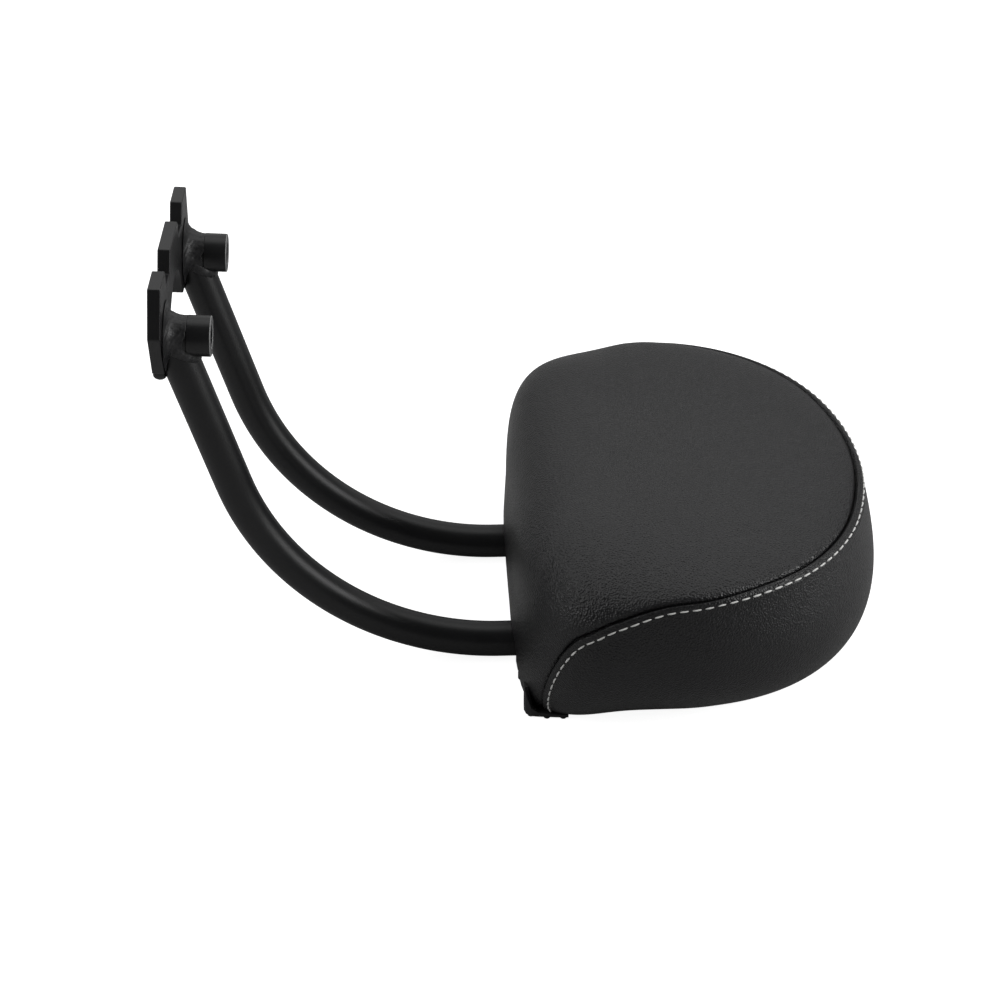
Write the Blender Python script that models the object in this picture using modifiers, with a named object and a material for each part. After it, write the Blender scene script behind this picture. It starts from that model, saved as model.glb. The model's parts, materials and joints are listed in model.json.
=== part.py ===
"""Passenger backrest for a motorbike: an upholstered pad on two bent steel tubes.

The backrest lies on the pad's back. +X runs along the tubes towards the pad's far edge,
+Z is up, and the part is symmetric about Y = 0. All sizes are in metres.
The welded frame is a laser-cut mounting plate, two bored bosses, two bent tubes and a
bracket. The pad is a moulded pan, a foam core, a top cover and a side band.
"""

import math

import bmesh
import bpy
from mathutils import Matrix, Vector

MM = 0.001

# Clearances
GAP = 0.3 * MM                     # between pieces that touch, cut or carry each other
BOLT_PLAY = 0.3 * MM               # radial play of a bolt in its holes
TUBE_NOTCH_PLAY = 1.0 * MM         # round each tube where it enters the pan

# Tubes
TUBE_DIAMETER = 18.0 * MM
TUBE_WALL = 2.0 * MM
TUBE_SPACING = 90.0 * MM           # also the spacing of the bosses and their bolts
BEND_RADIUS = 133.5 * MM           # of the centre line
BEND_ANGLE = math.radians(74.0)
RISER_LENGTH = 83.6 * MM           # straight run from the bend to the boss's axis
UNDER_PAD_LENGTH = 142.0 * MM      # straight run from the bend to the tube's free end

# Mounting plate, drawn in its own plane: y across, up along the plate
PLATE_THICKNESS = 6.0 * MM
PLATE_TILT = math.radians(3.5)     # the plate's top leans towards the pad
PLATE_SETBACK = 2.0 * MM           # from the tube's centre line to the plate's front
PLATE_TAB_HEIGHT = 29.0 * MM       # above the boss's axis
PLATE_NOTCH_HEIGHT = 18.5 * MM
CENTRE_TAB_HALF_WIDTH = 16.2 * MM
OUTER_TAB_INNER = 38.7 * MM
OUTER_TAB_OUTER = 58.1 * MM
NOTCH_SLOPE = 4.0 * MM             # how far a tab widens down to the notch
PLATE_HALF_WIDTH = 64.8 * MM
PLATE_SHOULDER_HEIGHT = 7.0 * MM   # of the widest point, above the boss's axis
PLATE_FOOT_DROP = 16.7 * MM        # below the boss's axis
PLATE_FOOT_OUTER = 52.6 * MM
PLATE_FOOT_INNER = 32.0 * MM
ARCH_HALF_WIDTH = 27.0 * MM
ARCH_FOOT_DROP = 7.0 * MM
ARCH_CROWN_HEIGHT = 8.0 * MM
PLATE_EDGE_BREAK = 0.7 * MM

# Bosses
BOSS_DIAMETER = 19.0 * MM
BOSS_BORE = 11.0 * MM
BOSS_LENGTH = 21.0 * MM
BOSS_EDGE_BREAK = 0.5 * MM

# Weld beads
BOSS_WELD_LEG = 6.0 * MM           # up the plate
BOSS_WELD_RUN = 7.5 * MM           # along the boss
WELD_EDGE = 0.4 * MM               # thickness of a fillet at its two toes
SADDLE_WELD_RADIUS = 2.4 * MM
SADDLE_WELD_SWEEP = math.radians(232.0)
TOE_WELD_DEPTH = 5.5 * MM
TOE_WELD_WIDTH = 11.0 * MM
TOE_WELD_FRONT = 2.0 * MM          # beyond the plate's front
TOE_WELD_BACK = 0.5 * MM           # short of the plate's back
TOE_WELD_FULLNESS = 0.55           # depth under the plate's middle, as a share
BRACKET_WELD_RADIUS = 2.2 * MM
BRACKET_WELD_MARGIN = 20.0 * MM    # from the bracket's ends
BRACKET_WELD_INSET = 3.0 * MM      # from the tube's side towards its axis

# Bracket and fasteners under the pad
BRACKET_THICKNESS = 3.0 * MM
BRACKET_START = 26.0 * MM          # from the bend
BRACKET_LENGTH = 100.0 * MM
BRACKET_WIDTH = 112.0 * MM
BRACKET_CHAMFER = 12.0 * MM
BRACKET_HOLE = 34.0 * MM
BRACKET_EDGE_BREAK = 0.4 * MM
BOLT_DIAMETER = 6.0 * MM
BOLT_PITCH_X = 66.0 * MM
BOLT_PITCH_Y = 50.0 * MM
BOLT_HEAD_FLATS = 10.0 * MM
BOLT_HEAD_HEIGHT = 4.0 * MM
BOLT_HEAD_OVERLAP = 1.0 * MM       # of the shank into the head
BOLT_END_DEPTH = 1.0 * MM          # of the shank's end below the pan's boss
WASHER_DIAMETER = 12.5 * MM
WASHER_THICKNESS = 1.6 * MM
SPRING_WASHER_DIAMETER = 10.6 * MM
SPRING_WASHER_THICKNESS = 1.6 * MM
SPRING_WASHER_SPLIT = 1.2 * MM
SPRING_WASHER_TURN = math.radians(23.0)
INSERT_DIAMETER = 9.0 * MM
INSERT_FLANGE = 14.0 * MM
INSERT_FLANGE_THICKNESS = 1.2 * MM
PLUG_WALL = 1.5 * MM
PLUG_DEPTH = 12.0 * MM
PLUG_HEAD = 2.0 * MM
PLUG_VENT_DIAMETER = 1.2 * MM

# Pad outline. Sizes are at the foot, near the floor, and at the rim, where the top starts.
PAD_CENTRE = 75.4 * MM             # x of the widest section, from the bend
PAD_THICKNESS = 100.0 * MM
PAD_RIM_HEIGHT = 85.0 * MM
PAD_FOOT_HALF_WIDTH = 93.3 * MM
PAD_RIM_HALF_WIDTH = 126.1 * MM
PAD_FOOT_FRONT = 99.3 * MM         # from the centre to the rounded end
PAD_RIM_FRONT = 107.8 * MM
PAD_FOOT_BACK = 70.5 * MM          # from the centre to the straight edge
PAD_RIM_BACK = 65.9 * MM
WALL_SWELL_SIDE = 17.0 * MM        # how far the wall bulges past a straight line
WALL_SWELL_FRONT = 15.0 * MM
WALL_SWELL_BACK = -0.2 * MM
WALL_SWELL_LOWNESS = 0.8           # below 1 the bulge sits in the wall's lower half
FRONT_ROUNDNESS = 2.33             # superellipse exponents, 2 is an ellipse
BACK_ROUNDNESS_FOOT = 5.25
BACK_ROUNDNESS_RIM = 3.06
CROWN_ROUNDNESS = 2.38

# The top rolls over the straight back, so the rim sinks round the rear corners
BACK_RIM_HEIGHT = 45.2 * MM
BACK_CROWN_ROUNDNESS = 3.8
BACK_START = math.radians(85.0)    # turn away from the rounded end
BACK_END = math.radians(140.0)
CORNER_START = math.radians(72.0)  # the plan's roundness changes between these turns
CORNER_END = math.radians(120.0)

# Seam between top cover and side band, level round the end and dropping to the rear corners
SEAM_HEIGHT = 89.5 * MM
SEAM_LEVEL_END = 81.4 * MM         # from the pad's centre, where the seam starts to drop
SEAM_CORNER = 54.6 * MM            # from the pad's centre to the seam's foot, backwards
SEAM_DROP_ROUNDNESS = 3.53
SEAM_CLEARANCE = 0.25 * MM         # from the seam line to each panel's edge
SEAM_FOLD_WIDTH = 5.0 * MM
SEAM_FOLD_THICKNESS = 0.9 * MM
SEAM_FOLD_LIFT = 0.6 * MM          # off the band
SEAM_FOLD_ROWS = (1.0, 0.7, 0.35, 0.0)   # across its width, from the free edge
SEAM_FOLD_LOWEST = 0.02            # rise of the free edge at the corners

# Cover, foam and pan
COVER_THICKNESS = 1.5 * MM
COVER_PLAY = 3.2 * MM              # between the cover's inside and the foam
HEM_WIDTH = 9.0 * MM               # tucked under the pan's rim
HEM_RADIUS = 1.9 * MM
HEM_START = math.radians(50.0)     # lean of the wall where the hem's curve starts
HEM_STEPS = 3
BACK_HEM_HEIGHT = 20.0 * MM        # the cover's edge over the tubes
PAN_WALL = 3.0 * MM
PAN_SKIRT_INSET = 2.4 * MM         # from the pad's foot outline to the skirt
PAN_BACK_INSET = 1.5 * MM
PAN_STEP_INSET = 8.2 * MM          # of the back above its step, which clears foam and cover
PAN_STEP_LOW = 16.0 * MM
PAN_STEP_TOP = 19.2 * MM
PAN_STEP_LAG = math.radians(3.0)   # turn from the seam's corner to where the step starts
PAN_STEP_RAMP = math.radians(14.0)
PAN_CORNER_ROUNDNESS = 5.6
PAN_EDGE_RADIUS = 5.0 * MM
PAN_BOSS_DIAMETER = 17.0 * MM
PAN_BOSS_HEIGHT = 6.0 * MM
PAN_RIB_THICKNESS = 2.4 * MM
PAN_RIB_DEPTH = 9.0 * MM
PAN_RIB_PLACES = (-30.0 * MM, 12.0 * MM)   # from the pad's centre
PAN_RIB_SIDE_INSET = 7.0 * MM
PAN_FOOT_DIAMETER = 5.0 * MM
PAN_FOOT_RISE = 2.0 * MM           # into the skirt
PAN_FOOT_TURNS = (math.radians(5.0), math.radians(12.0))   # past the seam's corner
FOAM_LOW_EDGE = 7.0 * MM
FOAM_BACK_EDGE = 21.5 * MM         # its lower edge over the tubes
FOAM_PAN_PLAY = 0.6 * MM
FOAM_POCKET_PLAY = 1.0 * MM        # round the pan's insert bosses
FOAM_POCKET_ROOM = 2.0 * MM        # over the inserts

# Mesh fineness
AROUND_BAND = 42
AROUND_BACK = 14
TURN_CROWDING = 1.35
BACK_CROWDING = 0.5
WALL_ROWS = 8
CROWN_ROWS = 7
COVER_ROWS = 12
TUBE_SIDES = 16
BEND_STEPS = 14
ROUND_SIDES = 24
HOLE_SIDES = 20
FASTENER_SIDES = 16
FOOT_SIDES = 12
ARCH_STEPS = 8
FILLET_STEPS = 5
SADDLE_STEPS = 18
PAN_EDGE_STEPS = 3
PAN_TOP_RING = 0.4                 # inner ring of a flat top, as a share of its outline
FOAM_ROOF_RING = 0.5
HALVINGS = 30
SHARP_ANGLE = math.radians(35.0)
MERGE_DISTANCE = 0.01 * MM
CUTTER_REACH = 200.0 * MM          # of cutters that pass right through
CUTTER_OVERRUN = 10.0 * MM

PARTS_COLLECTION = "motorbike_backrest"
CUTTERS_COLLECTION = "backrest_cutters"


def material(name, colour, roughness, metallic=0.0):
    """Principled material with one colour."""
    made = bpy.data.materials.new(name)
    made.use_nodes = True
    shader = made.node_tree.nodes["Principled BSDF"]
    shader.inputs["Base Color"].default_value = (*colour, 1.0)
    shader.inputs["Roughness"].default_value = roughness
    shader.inputs["Metallic"].default_value = metallic
    return made


def clear_scene():
    for old in list(bpy.data.objects):
        bpy.data.objects.remove(old)


def new_collection(name):
    made = bpy.data.collections.new(name)
    bpy.context.scene.collection.children.link(made)
    return made


def add_part(name, mesh, finish, matrix=None, smooth=True):
    """Links a mesh as one named sub-part under the frame's origin."""
    part = bpy.data.objects.new(name, mesh)
    parts.objects.link(part)
    part.parent = origin
    if matrix is not None:
        part.matrix_local = matrix
    mesh.materials.append(finish)
    if smooth:
        mesh.shade_smooth()
        mesh.set_sharp_from_angle(angle=SHARP_ANGLE)
    return part


def add_cutter(name, mesh, matrix=None):
    cutter = bpy.data.objects.new(name, mesh)
    cutters.objects.link(cutter)
    cutter.parent = origin
    if matrix is not None:
        cutter.matrix_local = matrix
    cutter.hide_render = True
    cutter.display_type = "WIRE"
    return cutter


def cut(part, cutter, operation="DIFFERENCE"):
    step = part.modifiers.new(f"{operation.lower()} {cutter.name}", "BOOLEAN")
    step.operation = operation
    step.solver = "EXACT"
    step.object = cutter
    return step


def bevel(part, width, segments=1, angle=30.0):
    step = part.modifiers.new("edge break", "BEVEL")
    step.width = width
    step.segments = segments
    step.limit_method = "ANGLE"
    step.angle_limit = math.radians(angle)
    return step


def mesh_from(name, build):
    """Runs build(bm) on an empty bmesh and returns the closed mesh."""
    made = bpy.data.meshes.new(name)
    work = bmesh.new()
    build(work)
    bmesh.ops.recalc_face_normals(work, faces=work.faces)
    work.to_mesh(made)
    work.free()
    return made


def cylinder(name, radius, start, end, sides=ROUND_SIDES):
    """Cylinder along local Z from start to end."""
    def build(work):
        middle = Matrix.Translation((0.0, 0.0, (start + end) / 2.0))
        bmesh.ops.create_cone(work, cap_ends=True, segments=sides, radius1=radius,
                              radius2=radius, depth=end - start, matrix=middle)
    return mesh_from(name, build)


def box(name, low, high):
    def build(work):
        size = [high[axis] - low[axis] for axis in range(3)]
        centre = [(high[axis] + low[axis]) / 2.0 for axis in range(3)]
        place = Matrix.Translation(centre) @ Matrix.Diagonal((*size, 1.0))
        bmesh.ops.create_cube(work, size=1.0, matrix=place)
    return mesh_from(name, build)


def turned(name, profile, sides=ROUND_SIDES):
    """Solid of revolution about local Z of a closed profile of (radius, height)."""
    def build(work):
        rings = []
        for step in range(sides):
            angle = 2.0 * math.pi * step / sides
            ring = []
            for radius, height in profile:
                ring.append(work.verts.new((radius * math.cos(angle), radius * math.sin(angle), height)))
            rings.append(ring)
        count = len(profile)
        for step in range(sides):
            here, there = rings[step], rings[(step + 1) % sides]
            for index in range(count):
                after = (index + 1) % count
                work.faces.new((here[index], there[index], there[after], here[after]))
    return mesh_from(name, build)


def outline_solid(name, points, low, high):
    """Flat outline in local XY, filled as a 2D curve and extruded from low to high."""
    curve = bpy.data.curves.new(name, "CURVE")
    curve.dimensions = "2D"
    curve.fill_mode = "BOTH"
    curve.extrude = (high - low) / 2.0
    spline = curve.splines.new("POLY")
    spline.points.add(len(points) - 1)
    for point, (across, up) in zip(spline.points, points):
        point.co = (across, up, 0.0, 1.0)
    spline.use_cyclic_u = True
    return curve_to_mesh(name, curve, Matrix.Translation((0.0, 0.0, (low + high) / 2.0)))


def curve_to_mesh(name, curve, shift=Matrix.Identity(4)):
    """Welds a curve's loose caps and returns it as a closed mesh."""
    holder = bpy.data.objects.new(name, curve)
    bpy.context.scene.collection.objects.link(holder)
    graph = bpy.context.evaluated_depsgraph_get()
    made = bpy.data.meshes.new_from_object(holder.evaluated_get(graph))
    bpy.data.objects.remove(holder)
    work = bmesh.new()
    work.from_mesh(made)
    bmesh.ops.remove_doubles(work, verts=work.verts, dist=MERGE_DISTANCE)
    bmesh.ops.recalc_face_normals(work, faces=work.faces)
    work.to_mesh(made)
    work.free()
    made.transform(shift)
    return made


def loft(name, rings, start_pole=None, end_pole=None, capped=False):
    """Skins closed rings of equal length; a pole or a flat cap closes an end."""
    def build(work):
        rows = [[work.verts.new(point) for point in ring] for ring in rings]
        count = len(rows[0])
        for lower, upper in zip(rows, rows[1:]):
            for index in range(count):
                after = (index + 1) % count
                work.faces.new((lower[index], lower[after], upper[after], upper[index]))
        for pole, row in ((start_pole, rows[0]), (end_pole, rows[-1])):
            if capped:
                work.faces.new(row)
            if pole is None:
                continue
            tip = work.verts.new(pole)
            for index in range(count):
                work.faces.new((row[index], row[(index + 1) % count], tip))
    return mesh_from(name, build)


# Places that several pieces share
BEND_END = Vector((-BEND_RADIUS * math.sin(BEND_ANGLE), 0.0,
                   TUBE_DIAMETER / 2.0 + BEND_RADIUS * (1.0 - math.cos(BEND_ANGLE))))
RISER_DIRECTION = Vector((-math.cos(BEND_ANGLE), 0.0, math.sin(BEND_ANGLE)))
RISER_TOP = BEND_END + RISER_DIRECTION * RISER_LENGTH
PLATE_NORMAL = Vector((math.cos(PLATE_TILT), 0.0, -math.sin(PLATE_TILT)))
PLATE_UP = Vector((math.sin(PLATE_TILT), 0.0, math.cos(PLATE_TILT)))
PLATE_FRONT = RISER_TOP - PLATE_NORMAL * PLATE_SETBACK
BRACKET_LOW = TUBE_DIAMETER + GAP
PAN_PANEL_LOW = BRACKET_LOW + BRACKET_THICKNESS + GAP
PAN_PANEL_TOP = PAN_PANEL_LOW + PAN_WALL
BOLT_CENTRE_X = BRACKET_START + BRACKET_LENGTH / 2.0
PLATE_REACH = PLATE_FRONT - PLATE_NORMAL * PLATE_THICKNESS - PLATE_UP * PLATE_FOOT_DROP
FOOT_HEIGHT = HEM_RADIUS * (1.0 - math.sin(HEM_START))


def plate_frame(side):
    """Local frame of the plate at a boss: X across, Y up the plate, Z out along the boss."""
    at = PLATE_FRONT + Vector((0.0, side * TUBE_SPACING / 2.0, 0.0))
    across = Vector((0.0, 1.0, 0.0))
    columns = (across, PLATE_UP, PLATE_NORMAL)
    turn = Matrix([[columns[c][r] for c in range(3)] for r in range(3)])
    return Matrix.Translation(at) @ turn.to_4x4()


# Pad surface

def blend(foot, rim, share):
    return foot + (rim - foot) * share


def superellipse(direction, reach, half_width, roundness):
    """Distance to a superellipse along a unit direction."""
    along = abs(direction[0]) / reach
    across = abs(direction[1]) / half_width
    return (along ** roundness + across ** roundness) ** (-1.0 / roundness)


def pad_direction(turn):
    """Unit direction in plan; turn runs from -pi to pi with 0 at the rounded end."""
    reach = PAD_RIM_FRONT if math.cos(turn) >= 0.0 else PAD_RIM_BACK
    direction = Vector((reach * math.cos(turn), PAD_RIM_HALF_WIDTH * math.sin(turn)))
    return direction.normalized()


def off_front(turn):
    """Turn away from the rounded end, from 0 to pi on either side."""
    return min(abs(turn), 2.0 * math.pi - abs(turn))


def eased(share):
    """Smooth step from 0 to 1."""
    share = min(max(share, 0.0), 1.0)
    return share * share * (3.0 - 2.0 * share)


def backness(turn):
    """0 along the side wall and 1 at the straight back, eased round the rear corner."""
    return eased((off_front(turn) - BACK_START) / (BACK_END - BACK_START))


def rim_height(turn):
    return blend(PAD_RIM_HEIGHT, BACK_RIM_HEIGHT, backness(turn))


def pad_point(turn, rise):
    """Point on the outer skin. rise 0 is the foot, 1 the rim and 2 the crown's middle."""
    rim = rim_height(turn)
    height = blend(FOOT_HEIGHT, rim, min(rise, 1.0))
    share = (height - FOOT_HEIGHT) / (PAD_RIM_HEIGHT - FOOT_HEIGHT)
    swell = math.sin(math.pi * share ** WALL_SWELL_LOWNESS)
    direction = pad_direction(turn)
    half_width = blend(PAD_FOOT_HALF_WIDTH, PAD_RIM_HALF_WIDTH, share) + WALL_SWELL_SIDE * swell
    if direction.x >= 0.0:
        reach = blend(PAD_FOOT_FRONT, PAD_RIM_FRONT, share) + WALL_SWELL_FRONT * swell
    else:
        reach = blend(PAD_FOOT_BACK, PAD_RIM_BACK, share) + WALL_SWELL_BACK * swell
    past = eased((off_front(turn) - CORNER_START) / (CORNER_END - CORNER_START))
    roundness = blend(FRONT_ROUNDNESS, blend(BACK_ROUNDNESS_FOOT, BACK_ROUNDNESS_RIM, share), past)
    distance = superellipse(direction, reach, half_width, roundness)
    if rise > 1.0:
        lift = (rise - 1.0) * math.pi / 2.0
        over = Vector((math.cos(lift), math.sin(lift)))
        crown = blend(CROWN_ROUNDNESS, BACK_CROWN_ROUNDNESS, backness(turn))
        over *= superellipse(over, 1.0, 1.0, crown)
        distance *= over.x
        height += (PAD_THICKNESS - rim) * over.y
    return Vector((PAD_CENTRE + direction.x * distance, direction.y * distance, height))


def pad_normal(turn, rise):
    step = 0.004
    low, high = max(rise - step, 0.0), min(rise + step, 1.98)
    around = pad_point(turn + step, rise) - pad_point(turn - step, rise)
    up = pad_point(turn, high) - pad_point(turn, low)
    return around.cross(up).normalized()


def inner_point(turn, rise, inset):
    return pad_point(turn, rise) - pad_normal(turn, rise) * inset


def rise_over(turn, height):
    """Share of the wall that a height takes up at this turn."""
    return height / (rim_height(turn) - FOOT_HEIGHT)


def rise_along(turn, rise, length):
    """Rise that a short length along the skin takes up from here."""
    low, high = max(rise - 0.01, 0.0), rise + 0.01
    return length * (high - low) / (pad_point(turn, high) - pad_point(turn, low)).length


def seam_height(forward):
    """Height of the seam at a distance forward of the pad's centre."""
    span = SEAM_LEVEL_END + SEAM_CORNER
    share = (SEAM_LEVEL_END - forward) / span
    if share <= 0.0:
        return SEAM_HEIGHT
    if share >= 1.0:
        return FOOT_HEIGHT
    drop = (1.0 - share ** SEAM_DROP_ROUNDNESS) ** (1.0 / SEAM_DROP_ROUNDNESS)
    return blend(FOOT_HEIGHT, SEAM_HEIGHT, drop)


def seam_rise(turn):
    """Where the seam crosses the skin at this turn, found by halving."""
    low, high = 0.0, 1.5
    for _ in range(HALVINGS):
        middle = (low + high) / 2.0
        point = pad_point(turn, middle)
        if point.z < seam_height(point.x - PAD_CENTRE):
            low = middle
        else:
            high = middle
    return low


def corner_turn():
    """Turn at which the seam reaches the foot, at the pad's rear corner."""
    low, high = math.pi / 2.0, math.pi
    for _ in range(HALVINGS):
        middle = (low + high) / 2.0
        if pad_point(middle, 0.0).x > PAD_CENTRE - SEAM_CORNER:
            low = middle
        else:
            high = middle
    return low


CORNER_TURN = corner_turn()
BACK_HEM_RAMP = math.radians(9.0)
BAND_SHORT_OF_CORNER = math.radians(4.0)
BAND_END = CORNER_TURN - BAND_SHORT_OF_CORNER


def low_edge(turn, low, high, lead=0.0):
    """Height that stays low along the band and climbs to high over the tubes."""
    return blend(low, high, eased((off_front(turn) - CORNER_TURN + lead) / BACK_HEM_RAMP))


def band_turns():
    """Turns along the band, closer together towards the corners where it runs out."""
    made = []
    for index in range(AROUND_BAND + 1):
        along = 2.0 * index / AROUND_BAND - 1.0
        share = 1.0 - (1.0 - abs(along)) ** TURN_CROWDING
        made.append(math.copysign(BAND_END * share, along))
    return made


def all_turns():
    """The band's turns and those across the straight back, closer together at the corners."""
    made = band_turns()
    for step in range(1, AROUND_BACK):
        share = step / AROUND_BACK
        share -= BACK_CROWDING * math.sin(2.0 * math.pi * share) / (2.0 * math.pi)
        made.append(blend(BAND_END, 2.0 * math.pi - BAND_END, share))
    return made


def step_inset(turn):
    """Inset of the pan's back above its step."""
    past = off_front(turn) - CORNER_TURN - PAN_STEP_LAG
    return blend(PAN_BACK_INSET, PAN_STEP_INSET, eased(past / PAN_STEP_RAMP))


def pan_outline(turn, inset, back_inset):
    """The pan in plan, inside the pad's foot."""
    direction = pad_direction(turn)
    half_width = PAD_FOOT_HALF_WIDTH - PAN_SKIRT_INSET - inset
    if direction.x >= 0.0:
        reach = PAD_FOOT_FRONT - PAN_SKIRT_INSET - inset
        roundness = FRONT_ROUNDNESS
    else:
        reach = PAD_FOOT_BACK - back_inset - inset
        roundness = PAN_CORNER_ROUNDNESS
    distance = superellipse(direction, reach, half_width, roundness)
    return Vector((PAD_CENTRE + direction.x * distance, direction.y * distance))


# Welded frame

def plate_outline():
    """Half outline of the plate from its middle, mirrored to the other side."""
    arch_rise = ARCH_CROWN_HEIGHT + ARCH_FOOT_DROP
    arch_radius = (ARCH_HALF_WIDTH ** 2 + arch_rise ** 2) / (2.0 * arch_rise)
    half_sweep = math.asin(ARCH_HALF_WIDTH / arch_radius)
    half = [
        (CENTRE_TAB_HALF_WIDTH, PLATE_TAB_HEIGHT),
        (CENTRE_TAB_HALF_WIDTH + NOTCH_SLOPE, PLATE_NOTCH_HEIGHT),
        (OUTER_TAB_INNER - NOTCH_SLOPE, PLATE_NOTCH_HEIGHT),
        (OUTER_TAB_INNER, PLATE_TAB_HEIGHT),
        (OUTER_TAB_OUTER, PLATE_TAB_HEIGHT),
        (PLATE_HALF_WIDTH, PLATE_SHOULDER_HEIGHT),
        (PLATE_FOOT_OUTER, -PLATE_FOOT_DROP),
        (PLATE_FOOT_INNER, -PLATE_FOOT_DROP),
    ]
    for step in range(ARCH_STEPS):
        angle = half_sweep * (1.0 - step / ARCH_STEPS)
        half.append((arch_radius * math.sin(angle),
                     ARCH_CROWN_HEIGHT - arch_radius * (1.0 - math.cos(angle))))
    crown = [(0.0, ARCH_CROWN_HEIGHT)]
    mirrored = [(-across, up) for across, up in reversed(half)]
    return half + crown + mirrored


def make_mounting_plate():
    middle = plate_frame(0)
    mesh = outline_solid("mounting_plate", plate_outline(), -PLATE_THICKNESS, 0.0)
    plate = add_part("mounting_plate", mesh, steel_black, middle, smooth=False)
    bevel(plate, PLATE_EDGE_BREAK)
    for side, label in SIDES:
        hole = cylinder("bolt hole", BOSS_BORE / 2.0, -CUTTER_REACH, CUTTER_REACH)
        cut(plate, add_cutter(f"plate_hole_{label}", hole, plate_frame(side)))


def make_boss(side, label):
    inner, outer = BOSS_BORE / 2.0, BOSS_DIAMETER / 2.0
    profile = [
        (inner, GAP),
        (outer, GAP),
        (outer, BOSS_LENGTH - BOSS_EDGE_BREAK),
        (outer - BOSS_EDGE_BREAK, BOSS_LENGTH),
        (inner + BOSS_EDGE_BREAK, BOSS_LENGTH),
        (inner, BOSS_LENGTH - BOSS_EDGE_BREAK),
    ]
    add_part(f"boss_{label}", turned("boss", profile), steel_black, plate_frame(side))


def tube_path(side, beyond=0.0):
    """Centre line from the free end under the pad to the boss's axis, or beyond it."""
    across = side * TUBE_SPACING / 2.0
    middle = TUBE_DIAMETER / 2.0
    path = [Vector((UNDER_PAD_LENGTH, across, middle))]
    for step in range(BEND_STEPS + 1):
        angle = BEND_ANGLE * step / BEND_STEPS
        path.append(Vector((-BEND_RADIUS * math.sin(angle), across,
                            middle + BEND_RADIUS * (1.0 - math.cos(angle)))))
    path.append(RISER_TOP + RISER_DIRECTION * beyond + Vector((0.0, across, 0.0)))
    return path


def swept(name, path, radius, sides=TUBE_SIDES, bore=None):
    """Round bar along a path in an XZ plane, or a tube if it has a bore."""
    def ring(index, size):
        before = path[max(index - 1, 0)]
        after = path[min(index + 1, len(path) - 1)]
        along = (after - before).normalized()
        across = Vector((0.0, 1.0, 0.0))
        up = along.cross(across)
        points = []
        for step in range(sides):
            angle = 2.0 * math.pi * step / sides
            offset = across * math.cos(angle) + up * math.sin(angle)
            points.append(path[index] + offset * size)
        return points
    outer = [ring(index, radius) for index in range(len(path))]
    if bore is None:
        return loft(name, outer, path[0], path[-1])
    inner = [ring(index, bore) for index in range(len(path))]
    return loft(name, outer + inner[::-1] + outer[:1], None, None)


def weld_ring_ends(mesh):
    """Joins the last ring of a hollow loft to its first."""
    work = bmesh.new()
    work.from_mesh(mesh)
    bmesh.ops.remove_doubles(work, verts=work.verts, dist=MERGE_DISTANCE)
    bmesh.ops.recalc_face_normals(work, faces=work.faces)
    work.to_mesh(mesh)
    work.free()
    return mesh


def make_arm_tube(side, label):
    radius = TUBE_DIAMETER / 2.0
    path = tube_path(side, TUBE_DIAMETER)
    mesh = weld_ring_ends(swept("arm tube", path, radius, bore=radius - TUBE_WALL))
    tube = add_part(f"arm_tube_{label}", mesh, steel_black)
    cut(tube, cutters_for[f"boss_room_{label}"])
    cut(tube, cutters_for["above_bosses"])
    cut(tube, cutters_for["behind_plate"])


def make_frame_cutters():
    """Solids that trim tubes and weld beads clear of plate, bosses and each other."""
    reach = CUTTER_REACH
    middle = plate_frame(0)
    made = {}
    slab = box("behind plate", (-reach, -PLATE_FOOT_DROP - GAP, -reach), (reach, reach, GAP))
    made["behind_plate"] = add_cutter("behind_plate", slab, middle)
    weld_end = 2.0 * GAP + WELD_EDGE + BOSS_WELD_RUN
    side_slab = box("boss weld room", (-reach, -reach, -reach), (reach, reach, weld_end))
    made["boss_weld_room"] = add_cutter("boss_weld_room", side_slab, middle)
    above = box("above bosses", (-reach, 0.0, -reach), (reach, reach, reach))
    made["above_bosses"] = add_cutter("above_bosses", above, middle)
    for side, label in SIDES:
        room = cylinder("boss room", BOSS_DIAMETER / 2.0 + GAP, -reach, reach)
        made[f"boss_room_{label}"] = add_cutter(f"boss_room_{label}", room, plate_frame(side))
        rod = swept("tube room", tube_path(side), TUBE_DIAMETER / 2.0 + GAP)
        made[f"tube_room_{label}"] = add_cutter(f"tube_room_{label}", rod)
    return made


def make_boss_weld(side, label):
    """Concave fillet between boss and plate, open where the tube comes in."""
    foot = BOSS_DIAMETER / 2.0 + GAP
    profile = [(foot, GAP)]
    for step in range(FILLET_STEPS + 1):
        angle = math.pi / 2.0 * step / FILLET_STEPS
        profile.append((foot + WELD_EDGE + BOSS_WELD_LEG * (1.0 - math.sin(angle)),
                        GAP + WELD_EDGE + BOSS_WELD_RUN * (1.0 - math.cos(angle))))
    profile.insert(1, (foot + WELD_EDGE + BOSS_WELD_LEG, GAP))
    profile.append((foot, GAP + WELD_EDGE + BOSS_WELD_RUN))
    weld = add_part(f"boss_weld_{label}", turned("boss weld", profile), weld_black, plate_frame(side))
    cut(weld, cutters_for[f"tube_room_{label}"])


def saddle_point(side, angle):
    """Where a line on the tube's skin meets the boss's underside."""
    sideways = Vector((0.0, 1.0, 0.0))
    front = sideways.cross(RISER_DIRECTION)
    radius = TUBE_DIAMETER / 2.0
    skin = front * math.cos(angle) * radius + sideways * math.sin(angle) * radius
    across = skin.dot(sideways)
    depth = math.sqrt(max((BOSS_DIAMETER / 2.0) ** 2 - across ** 2, 0.0))
    start = RISER_TOP + skin - PLATE_FRONT
    run = (-depth - start.dot(PLATE_UP)) / RISER_DIRECTION.dot(PLATE_UP)
    point = RISER_TOP + skin + RISER_DIRECTION * run
    return point + Vector((0.0, side * TUBE_SPACING / 2.0, 0.0))


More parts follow.
